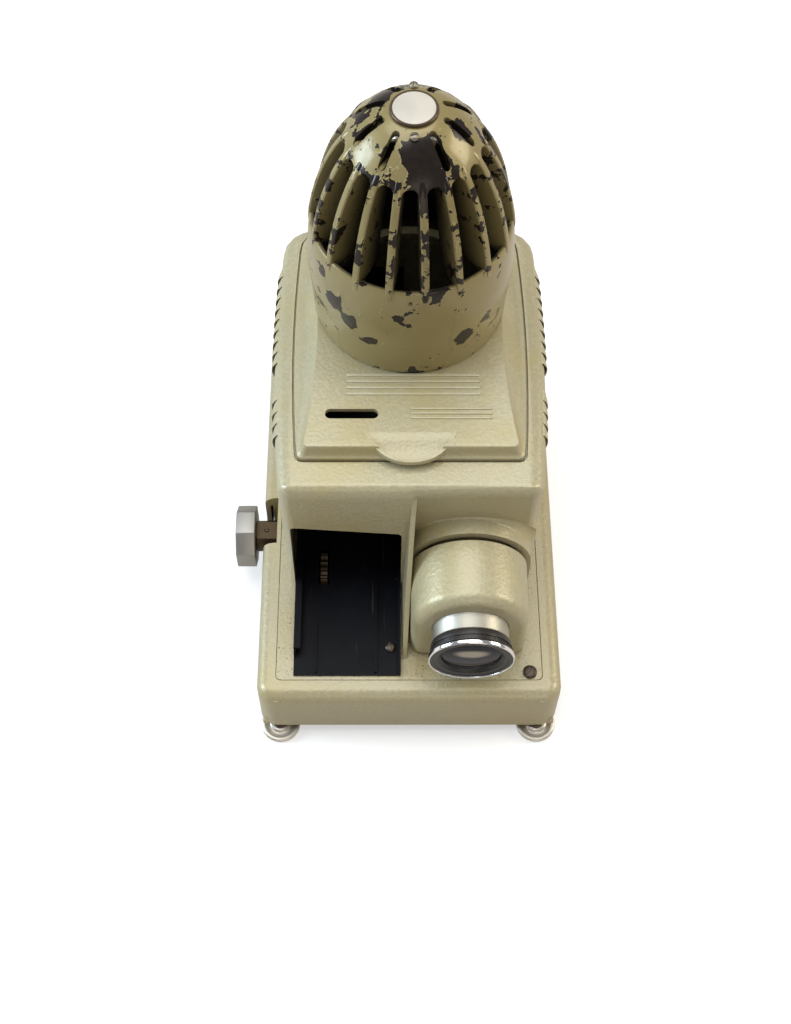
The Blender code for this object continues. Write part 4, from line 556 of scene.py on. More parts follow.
def carved(obj, tools, operation="DIFFERENCE", smooth=35.0):
    """Cuts tools out of obj, or joins them to it, and removes them."""
    for tool in tools:
        modifier = obj.modifiers.new(tool.name, "BOOLEAN")
        modifier.operation = operation
        modifier.solver = "EXACT"
        modifier.object = tool
    fixed(obj, smooth)
    for tool in tools:
        bpy.data.objects.remove(tool)
    return obj


def flattened(obj, smooth):
    """Lets large faces decide the shading at their corners, so they look flat."""
    fixed(obj, smooth)
    weighted = obj.modifiers.new("flat_faces_first", "WEIGHTED_NORMAL")
    weighted.keep_sharp = True
    graph = bpy.context.evaluated_depsgraph_get()
    old = obj.data
    obj.data = bpy.data.meshes.new_from_object(obj.evaluated_get(graph))
    obj.modifiers.clear()
    bpy.data.meshes.remove(old)
    return obj


def eased(obj, width, segments=2, limit=32.0, smooth=35.0):
    """Rounds the edges that are sharper than a limit."""
    bevel = obj.modifiers.new("edges", "BEVEL")
    bevel.width = width * MM
    bevel.segments = segments
    bevel.limit_method = "ANGLE"
    bevel.angle_limit = math.radians(limit)
    return fixed(obj, smooth)


def joined(first, *others):
    """Several meshes in one object, each still its own skin."""
    bm = bmesh.new()
    for obj in (first, *others):
        bm.from_mesh(obj.data)
    bm.to_mesh(first.data)
    bm.free()
    for obj in others:
        bpy.data.objects.remove(obj)
    return first


def dressed(obj, body, finish, slot, *nodes):
    """Gives a piece its finish, its body and the CAD nodes that it stands for."""
    obj.data.materials.clear()
    obj.data.materials.append(finish)
    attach(obj, body)
    if nodes:
        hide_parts(*nodes)
    print(obj.name, len(obj.data.polygons), "faces on", body)
    return obj


# %% [markdown]
# Things that repeat come from Geometry Nodes. Two trees do it here: one sets copies round an axis, for fins, ribs
# and slots, and one sets copies along the housing's bulged side, for its gills. Both end in Realize Instances and
# Set Material, so the result is an ordinary mesh.

# %% Node tree helpers
def new_tree(name, inputs):
    """A geometry tree with a geometry in and out and these named inputs."""
    tree = bpy.data.node_groups.new(name, "GeometryNodeTree")
    tree.interface.new_socket("Geometry", in_out="INPUT", socket_type="NodeSocketGeometry")
    for label, kind in inputs:
        tree.interface.new_socket(label, in_out="INPUT", socket_type="NodeSocket" + kind)
    tree.interface.new_socket("Geometry", in_out="OUTPUT", socket_type="NodeSocketGeometry")
    return tree


def tree_node(tree, kind, settings=None, inputs=None):
    made = tree.nodes.new(kind)
    for key, value in (settings or {}).items():
        setattr(made, key, value)
    for key, value in (inputs or {}).items():
        if isinstance(value, bpy.types.NodeSocket):
            tree.links.new(value, made.inputs[key])
        else:
            made.inputs[key].default_value = value
    return made


def sums(tree, operation, first, second=0.0):
    return tree_node(tree, "ShaderNodeMath", {"operation": operation}, {0: first, 1: second}).outputs[0]


def close_tree(tree, instances, material):
    """The last three nodes of every tree here."""
    plain = tree_node(tree, "GeometryNodeRealizeInstances", None, {0: instances})
    painted = tree_node(tree, "GeometryNodeSetMaterial", None, {"Geometry": plain.outputs[0], "Material": material})
    ending = tree.nodes.new("NodeGroupOutput")
    tree.links.new(painted.outputs[0], ending.inputs[0])


def grown(obj, tree, values):
    """Runs a tree on an object, with its inputs set by their identifiers, and keeps the mesh that it makes."""
    modifier = obj.modifiers.new(tree.name, "NODES")
    modifier.node_group = tree
    for item in tree.interface.items_tree:
        if item.in_out == "INPUT" and item.name in values:
            modifier[item.identifier] = values[item.name]
    obj.update_tag()
    bpy.context.view_layer.update()
    return fixed(obj)


# %% Copies round an axis
ROUND = new_tree(
    "copies_round_an_axis",
    [("Count", "Int"), ("First angle", "Float"), ("Axis", "Vector"), ("Axis point", "Vector"), ("Material", "Material")],
)
ENTRY = ROUND.nodes.new("NodeGroupInput").outputs
POINTS = tree_node(ROUND, "GeometryNodeMeshLine", None, {"Count": ENTRY["Count"], "Start Location": ENTRY["Axis point"], "Offset": (0, 0, 0)})
NUMBER = ROUND.nodes.new("GeometryNodeInputIndex").outputs[0]
EACH = sums(ROUND, "DIVIDE", 2 * math.pi, ENTRY["Count"])
ANGLE = sums(ROUND, "ADD", sums(ROUND, "MULTIPLY", NUMBER, EACH), ENTRY["First angle"])
SPIN = tree_node(ROUND, "FunctionNodeAxisAngleToRotation", None, {"Axis": ENTRY["Axis"], "Angle": ANGLE}).outputs[0]
COPIES = tree_node(
    ROUND, "GeometryNodeInstanceOnPoints", None, {"Points": POINTS.outputs[0], "Instance": ENTRY["Geometry"], "Rotation": SPIN}
)
close_tree(ROUND, COPIES.outputs[0], ENTRY["Material"])
print("tree:", ROUND.name, len(ROUND.nodes), "nodes")

# %% Copies along the bulged side
SIDE = new_tree(
    "copies_along_the_side",
    [("Count", "Int"), ("Start", "Float"), ("Pitch", "Float"), ("Middle", "Float"), ("Bulge", "Float"), ("Hand", "Float"),
     ("Shift", "Vector"), ("Material", "Material")],
)
ENTRY = SIDE.nodes.new("NodeGroupInput").outputs
LINE = tree_node(SIDE, "GeometryNodeMeshLine", None, {"Count": ENTRY["Count"], "Offset": (0, 0, 0)})
NUMBER = SIDE.nodes.new("GeometryNodeInputIndex").outputs[0]
ALONG = sums(SIDE, "ADD", ENTRY["Start"], sums(SIDE, "MULTIPLY", NUMBER, ENTRY["Pitch"]))
SHARE = sums(SIDE, "DIVIDE", sums(SIDE, "SUBTRACT", ALONG, 50.0), 95.0)
ACROSS = sums(SIDE, "SUBTRACT", ENTRY["Middle"], sums(SIDE, "MULTIPLY", ENTRY["Bulge"], sums(SIDE, "MULTIPLY", SHARE, SHARE)))
SLOPE = sums(SIDE, "MULTIPLY", sums(SIDE, "MULTIPLY", SHARE, ENTRY["Bulge"]), 2.0 / 95.0)
TURN = sums(SIDE, "MULTIPLY", sums(SIDE, "ARCTANGENT", SLOPE), ENTRY["Hand"])
SPOT = tree_node(SIDE, "ShaderNodeCombineXYZ", None, {0: sums(SIDE, "MULTIPLY", ACROSS, ENTRY["Hand"]), 1: ALONG})
METRES = tree_node(SIDE, "ShaderNodeVectorMath", {"operation": "SCALE"}, {0: SPOT.outputs[0], "Scale": MM}).outputs[0]
MOVED = tree_node(SIDE, "ShaderNodeVectorMath", {"operation": "ADD"}, {0: METRES, 1: ENTRY["Shift"]}).outputs[0]
SET = tree_node(SIDE, "GeometryNodeSetPosition", None, {"Geometry": LINE.outputs[0], "Position": MOVED})
EULER = tree_node(SIDE, "ShaderNodeCombineXYZ", None, {2: TURN}).outputs[0]
SPIN = tree_node(SIDE, "FunctionNodeEulerToRotation", None, {0: EULER}).outputs[0]
COPIES = tree_node(
    SIDE, "GeometryNodeInstanceOnPoints", None, {"Points": SET.outputs[0], "Instance": ENTRY["Geometry"], "Rotation": SPIN}
)
close_tree(SIDE, COPIES.outputs[0], ENTRY["Material"])
print("tree:", SIDE.name, len(SIDE.nodes), "nodes")

# %% [markdown]
# The chimney is one casting: a plain band, eighteen deep fins and a slotted crown. Its outside is a band that flares
# a little, then a dome. The dome's radius follows a flattened circle, so one formula places everything on it.

# %% Chimney shape
BAND_LOW = CHIMNEY_LOW.z
BAND_TOP = BAND_LOW + 39.0
DOME_HEIGHT = 107.5
FOOT_RADIUS = 53.7
DOME_RADIUS = 56.0
OPEN_LOW = BAND_TOP + 31.0
OPEN_HIGH = BAND_TOP + 87.0
FIN_COUNT = 18
FIN_FIRST = -83.0
CAP_RADIUS = 13.0


def dome_radius(z):
    if z <= BAND_TOP:
        return FOOT_RADIUS + (DOME_RADIUS - FOOT_RADIUS) * (z - BAND_LOW) / 39.0
    return DOME_RADIUS * max(1 - ((z - BAND_TOP) / DOME_HEIGHT) ** 2, 0.0) ** 0.458


def dome_height(radius):
    return BAND_TOP + DOME_HEIGHT * math.sqrt(1 - (radius / DOME_RADIUS) ** (1 / 0.458))


def round_ring(radii, heights, steps):
    """A ring about the chimney's axis; radii and heights are numbers or functions of the angle."""
    ring = []
    for i in range(steps):
        angle = 2 * math.pi * i / steps
        radius = radii(angle) if callable(radii) else radii
        height = heights(angle) if callable(heights) else heights
        ring.append((radius * math.cos(angle), BADGE.y + radius * math.sin(angle), height))
    return ring


def stored(obj, name, amount):
    """Stores a number at each point, such as how worn it is, for the enamel to read."""
    attribute = obj.data.attributes.new(name, "FLOAT", "POINT")
    for vertex, item in zip(obj.data.vertices, attribute.data):
        item.value = amount((vertex.co - SHIFT) / MM)
    return obj


# Where the painted shade goes: the chimney's inner skin, which lies in shade.
def inner_shade_mask(p):
    """1 on the inner skin of the casting, 0 outside."""
    reach = math.hypot(p.x, p.y - BADGE.y)
    return 1.0 if reach < dome_radius(min(p.z, BAND_TOP + DOME_HEIGHT - 1)) - 1.6 and p.z < CHIMNEY_HIGH.z - 2.0 else 0.0


# %% Band
WALL = 3.0
band_profile = [(dome_radius(BAND_LOW) - WALL, BAND_LOW), (dome_radius(BAND_LOW) - 0.8, BAND_LOW)]
band_profile += [(dome_radius(z) - (0.25 if i == 0 else 0.0), z) for i, z in enumerate([BAND_LOW + 0.6 + 5.6 * k for k in range(13)])]
band_profile += [(dome_radius(OPEN_LOW) - 0.1, OPEN_LOW - 0.7), (dome_radius(OPEN_LOW) - 0.7, OPEN_LOW)]
band_profile += [(dome_radius(OPEN_LOW) - WALL + 0.5, OPEN_LOW), (dome_radius(OPEN_LOW) - WALL, OPEN_LOW - 0.6)]
band_profile += [(dome_radius(z) - WALL, z) for z in (BAND_TOP + 14, BAND_TOP, BAND_LOW + 18)]
band = turned("chimney_band", "Z", (0.0, BADGE.y), band_profile, 144, around=True)
# The band's inner skin takes painted shade.
stored(band, "painted_inner_shade", inner_shade_mask)
stored(band, "wear", lambda p: 0.9 if p.z > OPEN_LOW - 1.5 else 0.25 if p.z < BAND_LOW + 3 else 0.0)


# %% Crown
def crown_edge(angle):
    """The crown's lower edge rises to an arch between each pair of fins."""
    place = (math.degrees(angle) - FIN_FIRST) % 20.0 / 20.0
    return OPEN_HIGH - 6.5 * abs(2 * place - 1) ** 2.6


def crown_ring(share, inward=0.0):
    top = math.asin((dome_height(CAP_RADIUS) - BAND_TOP) / DOME_HEIGHT)

    def height(angle):
        low = math.asin((crown_edge(angle) - BAND_TOP) / DOME_HEIGHT)
        return BAND_TOP + DOME_HEIGHT * math.sin(low + (top - low) * share)

    return round_ring(lambda a: dome_radius(height(a)) - inward, lambda a: height(a) - inward * 0.9, 216)


crown_rings = [crown_ring(0.0, 2.7), crown_ring(0.0, 0.5), crown_ring(0.012, 0.1)]
crown_rings += [crown_ring(share / 12) for share in range(1, 13)]
crown_rings += [round_ring(radius, dome_height(CAP_RADIUS), 216) for radius in (CAP_RADIUS - 0.6, 4.0, 0.3)]
crown_rings += [round_ring(radius, dome_height(CAP_RADIUS) - WALL, 216) for radius in (0.3, CAP_RADIUS - 1.0)]
crown_rings += [crown_ring(share / 12, 2.7) for share in range(10, 0, -3)]
crown = loft("chimney_crown", crown_rings, around=True)
bm = bmesh.new()
bm.from_mesh(crown.data)
bmesh.ops.remove_doubles(bm, verts=bm.verts, dist=1e-6)
bmesh.ops.holes_fill(bm, edges=[e for e in bm.edges if e.is_boundary], sides=0)
bm.to_mesh(crown.data)
bm.free()
slots = []
for side in (-1, 1):
    for i in range(4):
        heading = math.radians(side * (32.0 + 40.0 * i))
        out = Vector((math.sin(heading), -math.cos(heading)))
        across = Vector((out.y, -out.x))
        outline = [Vector((0.0, BADGE.y)) + out * u + across * v for u, v in rounded(15.0, 31.0, -2.1, 2.1, 2.0, 6)]
        slots.append(prism(f"slot_{side}_{i}", "Z", [tuple(p) for p in outline], OPEN_HIGH - 10, CHIMNEY_HIGH.z + 9))
carved(crown, slots)


def crown_wear(p):
    reach = math.hypot(p.x, p.y - BADGE.y)
    heading = math.degrees(math.atan2(p.x, -(p.y - BADGE.y)))
    nearest = min(abs((heading - side * (32.0 + 40.0 * i) + 180) % 360 - 180) for side in (-1, 1) for i in range(4))
    by_slot = max(0.0, 1.0 - abs(nearest * math.pi / 180 * reach - 2.1) / 1.5) if 13 < reach < 33 else 0.0
    return max(by_slot, 0.45 if reach < 34 else 0.7)


stored(crown, "wear", crown_wear)
# The crown's inner skin takes painted shade.
stored(crown, "painted_inner_shade", inner_shade_mask)

# %% Fins
FIN_HALF = 2.0
FIN_STEPS = 26
fin_bm = bmesh.new()
fin_loops = []
for i in range(FIN_STEPS):
    share = i / (FIN_STEPS - 1)
    z = OPEN_LOW - 9.0 + (OPEN_HIGH + 5.0 - OPEN_LOW + 9.0) * share
    fade = min(1.0, share * 7.0, (1.0 - share) * 9.0)
    outer = dome_radius(z) + 0.8 * fade ** 0.5 - 1.0 * (1 - min(fade * 3, 1.0))
    inner_straight = DOME_RADIUS - 20.0 - 16.0 * max(share - 0.12, 0.0)
    inner = min(inner_straight, outer - 4.0) if share > 0.12 else outer - 4.0 - 14.0 * (share / 0.12)
    half = FIN_HALF * (0.55 + 0.45 * min(1.0, fade * 2))
    section = [(inner, -half * 0.7), (inner + 3.0, -half * 0.9), (outer - 0.9, -half), (outer - 0.25, -half * 0.72), (outer, 0.0)]
    section += [(outer - 0.25, half * 0.72), (outer - 0.9, half), (inner + 3.0, half * 0.9), (inner, half * 0.7)]
    fin_loops.append([fin_bm.verts.new(Vector((u, v, z)) * MM) for u, v in section])
fin_bm.faces.new(fin_loops[0])
fin_bm.faces.new(fin_loops[-1])
for low, high in zip(fin_loops, fin_loops[1:]):
    for i in range(len(low)):
        j = (i + 1) % len(low)
        fin_bm.faces.new((low[i], low[j], high[j], high[i]))
fins = mesh_object("chimney_fins", fin_bm, 50.0)
wear = fins.data.attributes.new("wear", "FLOAT", "POINT")
for index, item in enumerate(wear.data):
    item.value = (0.1, 0.1, 0.7, 1.0, 0.75, 1.0, 0.7, 0.1, 0.1)[index % 9]
# Painted shade on each fin: strong at its inner edge, deep in the chimney, and none at its outer edge.
painted_inner_shade = fins.data.attributes.new("painted_inner_shade", "FLOAT", "POINT")
for index, item in enumerate(painted_inner_shade.data):
    item.value = (0.97, 0.9, 0.12, 0.0, 0.0, 0.0, 0.12, 0.9, 0.97)[index % 9]
settings = {
    "Count": FIN_COUNT,
    "First angle": math.radians(FIN_FIRST),
    "Axis": (0.0, 0.0, 1.0),
    "Axis point": SHIFT + Vector((0.0, BADGE.y * MM, 0.0)),
    "Material": CHIMNEY_ENAMEL,
}
grown(fins, ROUND, settings)
chimney = joined(band, crown, fins)
chimney.name = "finned_chimney"
dressed(chimney, "lid", CHIMNEY_ENAMEL, "cream_enamel", "chimney")

# %% [markdown]
# A plain enamel disc caps the crown inside a thin dark rim, and two slotted screws hold the chimney on its studs.
# Both are turned: a profile of a few points goes round an axis. The screw slots are cut afterwards.

# %% Badge and crown screws
radius = (BADGE_HIGH.x - BADGE_LOW.x) / 2
low, high = BADGE_LOW.z, BADGE_HIGH.z
profile = [(0.2, low), (radius - 0.3, low), (radius, low + 0.3), (radius, high - 0.4), (radius - 0.35, high)]
profile += [(radius - 1.1, high), (radius - 1.5, high - 0.35), (0.2, high - 0.25)]
rim = turned("badge_rim", "Z", (BADGE.x, BADGE.y), profile, 96)
dressed(rim, "lid", BRONZE, "aluminium")
profile = [(0.2, high - 0.6), (radius - 1.3, high - 0.6), (radius - 1.35, high - 0.18), (radius - 1.9, high - 0.04), (0.2, high)]
dressed(turned("badge_disc", "Z", (BADGE.x, BADGE.y), profile, 96), "lid", BADGE_ENAMEL, "aluminium", "badge")


def slotted_screw(name, node, axis, sign, body, finish, slot, crown=0.35, heading=25.0):
    """A screw head over its CAD node: a flattened dome with a driver slot; sign says which way it faces."""
    low, high = span(node)
    index = "XYZ".index(axis)
    flat = [i for i in range(3) if i != index]
    centre = [(low[i] + high[i]) / 2 for i in flat]
    radius = (high[flat[0]] - low[flat[0]]) / 2
    face, foot = (high[index], low[index]) if sign > 0 else (low[index], high[index])
    steps = [(0.2, 0.0), (0.35, 0.02), (0.7, 0.2), (0.9, 0.55), (1.0, 1.0)]
    profile = [(radius * share, face - sign * drop * crown * 2.0) for share, drop in steps]
    profile += [(radius, face - sign * 1.9), (radius * 0.5, face - sign * 1.9), (radius * 0.5, foot), (0.2, foot)]
    made = turned(name, axis, centre, profile, 48)
    half = radius * 1.2
    lean = math.radians(heading)
    across = (math.cos(lean), math.sin(lean))
    outline = []
    for u, v in ((-half, -0.32), (half, -0.32), (half, 0.32), (-half, 0.32)):
        outline.append((centre[0] + u * across[0] - v * across[1], centre[1] + u * across[1] + v * across[0]))
    carved(made, [prism(name + "_slot", axis, outline, face - sign * 0.75, face + sign * 2.0)])
    return dressed(made, body, finish, slot, node)


slotted_screw("crown_screw_front", "chimney_screw_front", "Z", 1, "lid", NICKEL, "steel", 0.5, 20.0)
slotted_screw("crown_screw_rear", "chimney_screw_rear", "Z", 1, "lid", NICKEL, "steel", 0.5, 75.0)
slotted_screw("deck_screw_head", "deck_screw", "Z", 1, "base", DARK_STEEL, "blackened_steel", 0.4, 50.0)
slotted_screw("channel_screw_head", "channel_screw", "Z", 1, "base", DARK_STEEL, "steel", 0.4, 110.0)

# %% [markdown]
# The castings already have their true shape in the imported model, but as loose triangles with hard edges. Real
# castings have no hard edges, because enamel is thick and sand moulds are worn. So each is copied and merged, its
# flat regions are dissolved into single faces, and its edges are rounded. The copy then stands for the original.


# %% Softened copies
def softened(name, node, width, finish, slot, body, segments=2, limit=38.0):
    bm = bmesh.new()
    bm.from_mesh(frame["nodes"][node].data)
    bmesh.ops.remove_doubles(bm, verts=bm.verts, dist=2e-6)
    bmesh.ops.dissolve_limit(bm, angle_limit=math.radians(1.0), verts=bm.verts, edges=bm.edges)
    mesh = bpy.data.meshes.new(name)
    bm.to_mesh(mesh)
    bm.free()
    made = bpy.data.objects.new(name, mesh)
    bpy.context.scene.collection.objects.link(made)
    mesh.shade_smooth()
    if width:
        bevel = made.modifiers.new("edges", "BEVEL")
        bevel.width = width * MM
        bevel.segments = segments
        bevel.limit_method = "ANGLE"
        bevel.angle_limit = math.radians(limit)
        bevel.harden_normals = False
    flattened(made, 38.0)
    return dressed(made, body, finish, slot, node)


softened("base_shell", "base_casting", 0.7, BASE_ENAMEL, "hammertone", "base")
softened("deck", "deck_plate", 0.35, DECK_ENAMEL, "deck_hammertone", "base")
softened("lamp_house", "upper_housing", 0.8, ENAMEL, "hammertone", "base")
softened("channel_tray", "magazine_channel", 0.25, CHANNEL_BLACK, "black_enamel", "base")

# %% [markdown]
# The hood over the lens grows out of the front wall in a soft curve, as cast shapes do. A loft follows the arch: at
# each of its points the outline starts at the hood's face and sweeps out as it nears the sloping wall.

# %% Hood flare
HOOD_RADIUS = OPTIC_RADIUS + 2.6


def wall_y(z):
    """The front wall leans: its top stands further forward than its foot."""
    return WALL_FOOT_Y + (WALL_HEAD_Y - WALL_FOOT_Y) * (z - DECK_TOP) / (HOUSING_HIGH_Z - DECK_TOP)


def arch_points(radius, foot, steps=49):
    """An upside-down U round the optical axis."""
    points = [(OPTIC.x + radius, foot + (OPTIC.z - foot) * share) for share in (0.0, 0.33, 0.66)]
    points += arc(OPTIC.x, OPTIC.z, radius, steps, 0.0, 180.0)
    return points + [(OPTIC.x - radius, foot + (OPTIC.z - foot) * share) for share in (0.66, 0.33, 0.0)]


def flare_ring(grow, back):
    ring = []
    for x, z in arch_points(HOOD_RADIUS - 0.25, DECK_TOP + 0.6):
        aside = max(x - OPTIC.x, 0.0) / HOOD_RADIUS
        share = 0.22 + 0.78 * aside ** 1.5
        away = Vector((x - OPTIC.x, max(z - OPTIC.z, 0.0))).normalized() * grow * share
        x, z = x + away.x, z + away.y
        left_end = DIVIDER_FOOT_X + 5.2 * (z - DECK_TOP) / 104.0 + 0.9
        ring.append((min(max(x, left_end), SIDE_LIMIT), wall_y(z) - back * share, z))
    return ring


FLARE = 8.0
flare_rings = [flare_ring(-1.2, -1.0), flare_ring(-1.2, FLARE + 1.0)]
for i in range(9):
    angle = math.radians(90.0 * i / 8)
    flare_rings.append(flare_ring(FLARE * (1 - math.cos(angle)), FLARE * (1 - math.sin(angle)) + 0.15))
flare_rings.append(flare_ring(FLARE, -1.0))
dressed(loft("hood_flare", flare_rings, around=True), "base", ENAMEL, "hammertone")

# %% [markdown]
# Along both upper edges the lamp house has rows of small gills that let warm air out. Each is a raised scale, and in
# front of it a near-black piece stands in for the shade in its open mouth: painted shade. One scale is lofted, and the
# side tree repeats it along the bulged wall.


# %% Gills
def gill(name, proud, grow, mouth):
    """One scale at the origin: it stands out along +X, runs along Y, and its mouth faces -Y."""
    rings = []
    for i in range(9):
        share = i / 8
        z = GILL_LOW - grow + (GILL_HIGH - GILL_LOW + 2 * grow) * share
        lift = proud * math.sin(math.pi * min(max(share, 0.04), 0.96)) ** 0.55
        lean = -max(z - SHOULDER_Z, 0.0) ** 2 * 0.055
        if mouth:
            section = [(-0.9, -3.0), (lift - 0.55, -2.95), (lift - 0.6, -1.6), (-0.9, -1.5)]
        else:
            section = [(-0.9, -2.2), (lift - 0.5, -2.4), (lift, -2.9), (lift * 0.96, -2.2)]
            section += [(lift * 0.78, 0.2), (lift * 0.42, 2.4), (0.06, 4.4), (-0.9, 4.4)]
        rings.append([(x + lean, y, z) for x, y in section])
    made = loft(name, [[tuple(Vector(p) - SHIFT / MM) for p in ring] for ring in rings], smooth=60.0)
    return made


GILL_LOW, GILL_HIGH, SHOULDER_Z = 137.5, 150.5, 145.0
GILL_PITCH = 7.7
SIDE_MIDDLE = 76.6
for hand, sign in (("left", -1), ("right", 1)):
    for row, first, count in (("rear", 40.0, 9), ("front", -8.0, 4)):
        # The mouth pieces are painted shade, near-black where the open gills would be in shade; their slot string
        # still says black_enamel.
        for part, finish, grow, proud, mouth in (("scale", ENAMEL, 0.0, 1.55, False), ("mouth", VENT_MOUTH_SHADE, -0.9, 1.35, True)):
            made = gill(f"gill_{part}_{row}_{hand}", proud if row == "rear" else proud * 0.75, grow, mouth)
            if sign < 0:
                for vertex in made.data.vertices:
                    vertex.co.x = -vertex.co.x
                made.data.flip_normals()
            values = {"Count": count, "Start": first, "Pitch": GILL_PITCH, "Middle": SIDE_MIDDLE - 0.05, "Bulge": 4.6}
            grown(made, SIDE, {**values, "Hand": float(sign), "Shift": SHIFT, "Material": finish})
            dressed(made, "base", finish, "hammertone" if part == "scale" else "black_enamel")

# %% [markdown]
# The lid is a shallow casting. Its rim lies flush in the housing, a concave slope rises from the rim, and a flat
# panel tops it. Two outlines with equal points, blended with a square law, give that slope. A dished lip for a
# finger is joined on in front, and the hollow, the flue and the slot are cut out.

# %% Lid outlines
LID_FRONT, LID_BACK = -29.0, 129.5
LID_EDGE_Z, PANEL_Z = 156.0, CHIMNEY_LOW.z - 0.3


def side_half(y, middle):
    return middle - 4.6 * ((y - 50.0) / 95.0) ** 2


def panel_outline(inset):
    front_half = 58.2 - inset
    back_radius = FOOT_RADIUS + 0.6 - inset
    front = LID_FRONT + 3.0 + inset
    half = arc(front_half - 3.0, front + 3.0, 3.0, 5, -90.0, 90.0)
    for i in range(1, 12):
        share = i / 12
        y = front + 3.0 + (BADGE.y - 20.0 - front - 3.0) * share
        half.append((front_half + (52.2 - inset - front_half) * (1 - (1 - share) ** 2), y))
    half += arc(0.0, BADGE.y, back_radius, 20, -15.0, 103.0)
    return half


def rim_outline(inset):
    middle = 65.2 - inset
    front, back, corner = LID_FRONT + inset, LID_BACK - inset, 14.0
    start = side_half(front, middle)
    half = arc(start - 3.5, front + 3.5, 3.5, 5, -90.0, 90.0)
    side_count = 11 + 20 - 10
    end = back - corner
    for i in range(1, side_count + 1):
        y = front + 3.5 + (end - front - 3.5) * i / side_count
        half.append((side_half(y, middle), y))
    edge = side_half(end, middle)
    half += arc(edge - corner, end, corner, 11, 0.0, 90.0)[1:]
    return half


def both_halves(half):
    return half + [(-x, y) for x, y in half[::-1] if x > 0.01]


def slope_ring(share, inset=0.0, drop=0.0):
    rise = 0.10 * share + 0.90 * share ** 2.2
    rim, panel = rim_outline(1.0 + inset), panel_outline(inset)
    blend = [(a[0] + (b[0] - a[0]) * share, a[1] + (b[1] - a[1]) * share) for a, b in zip(rim, panel)]
    z = LID_EDGE_Z + (PANEL_Z - 1.0 - LID_EDGE_Z) * rise - drop
    return [(x, y, z) for x, y in both_halves(blend)]


def flat_ring(half, z):
    return [(x, y, z) for x, y in both_halves(half)]


# %% Lid body
print("outline points:", len(rim_outline(0)), len(panel_outline(0)))
rings = [flat_ring(rim_outline(0.6), LID_LOW.z), flat_ring(rim_outline(0.4), LID_LOW.z + 0.4)]
rings += [flat_ring(rim_outline(0.4), LID_EDGE_Z - 1.1), flat_ring(rim_outline(0.6), LID_EDGE_Z - 0.4)]
rings += [slope_ring(share / 9) for share in range(0, 9)]
rings += [flat_ring(panel_outline(0.0), PANEL_Z - 1.2), flat_ring(panel_outline(0.35), PANEL_Z - 0.4)]
rings += [flat_ring(panel_outline(1.1), PANEL_Z)]
lid = loft("lid_casting", rings, smooth=40.0)
lip_centre = LID_FRONT - 5.0 + 26.5


LIP_TOP = [(-45.0, 160.7), (-31.0, 160.7), (-28.0, 161.3), (-25.0, 162.3), (-22.5, 163.2), (-20.0, 163.9)]
LIP_TOP += [(-17.5, 164.1), (-9.0, 164.1)]
DISH_FLOOR = [(-45.0, 159.6), (-31.0, 159.8), (-27.0, 160.6), (-24.0, 161.6), (-21.5, 162.6), (-19.5, 163.25)]
DISH_FLOOR += [(-17.5, 163.6), (-14.0, 163.9), (-9.0, 166.0)]


def above(name, line):
    """Everything over a line that falls from the panel to the lip's tip."""
    return prism(name, "X", line + [(-9.0, 176.0), (-45.0, 176.0)], -40.0, 40.0)


lip = arc(0.0, lip_centre, 26.5, 49, 200.0, 140.0) + [(18.5, LID_FRONT + 14), (-18.5, LID_FRONT + 14)]
inner = arc(0.0, lip_centre, 25.1, 64)
finger_lip = prism("finger_lip", "Z", lip, 157.7, 168.0)
carved(finger_lip, [above("above_lip", LIP_TOP), prism("inside_lip", "Z", inner, PANEL_Z - 0.4, 170.0)])
carved(lid, [eased(finger_lip, 0.4, 3, 40.0)], "UNION", 40.0)
dish = prism("finger_dish", "Z", inner, 150.0, 172.0)
carved(dish, [above("above_dish", DISH_FLOOR)], "INTERSECT")
hollow = [flat_ring(rim_outline(3.6), LID_LOW.z - 5), flat_ring(rim_outline(3.6), LID_EDGE_Z - 3.1)]
hollow += [slope_ring(share / 6, 2.6, 2.7) for share in range(1, 7)]
hollow += [flat_ring(panel_outline(2.9), PANEL_Z - 2.8)]
flue = prism("flue", "Z", arc(0.0, BADGE.y, FOOT_RADIUS - 8.0, 96), LID_LOW.z, PANEL_Z + 5)
slot = prism("slot", "Z", rounded(-46.5, -17.5, -8.1, -1.9, 3.0, 8), LID_LOW.z, PANEL_Z + 5)
carved(lid, [loft("lid_hollow", hollow), flue, slot], "DIFFERENCE", 40.0)
eased(lid, 0.35, 2, 55.0, 34.0)
flattened(carved(lid, [dish], "DIFFERENCE", 34.0), 34.0)

# %% [markdown]
# Two arms with eyes at the back hold the lid on its hinge pins. A lid like this carries raised trim in two fields.
# Plain bars are used here, one group of four and one of three.

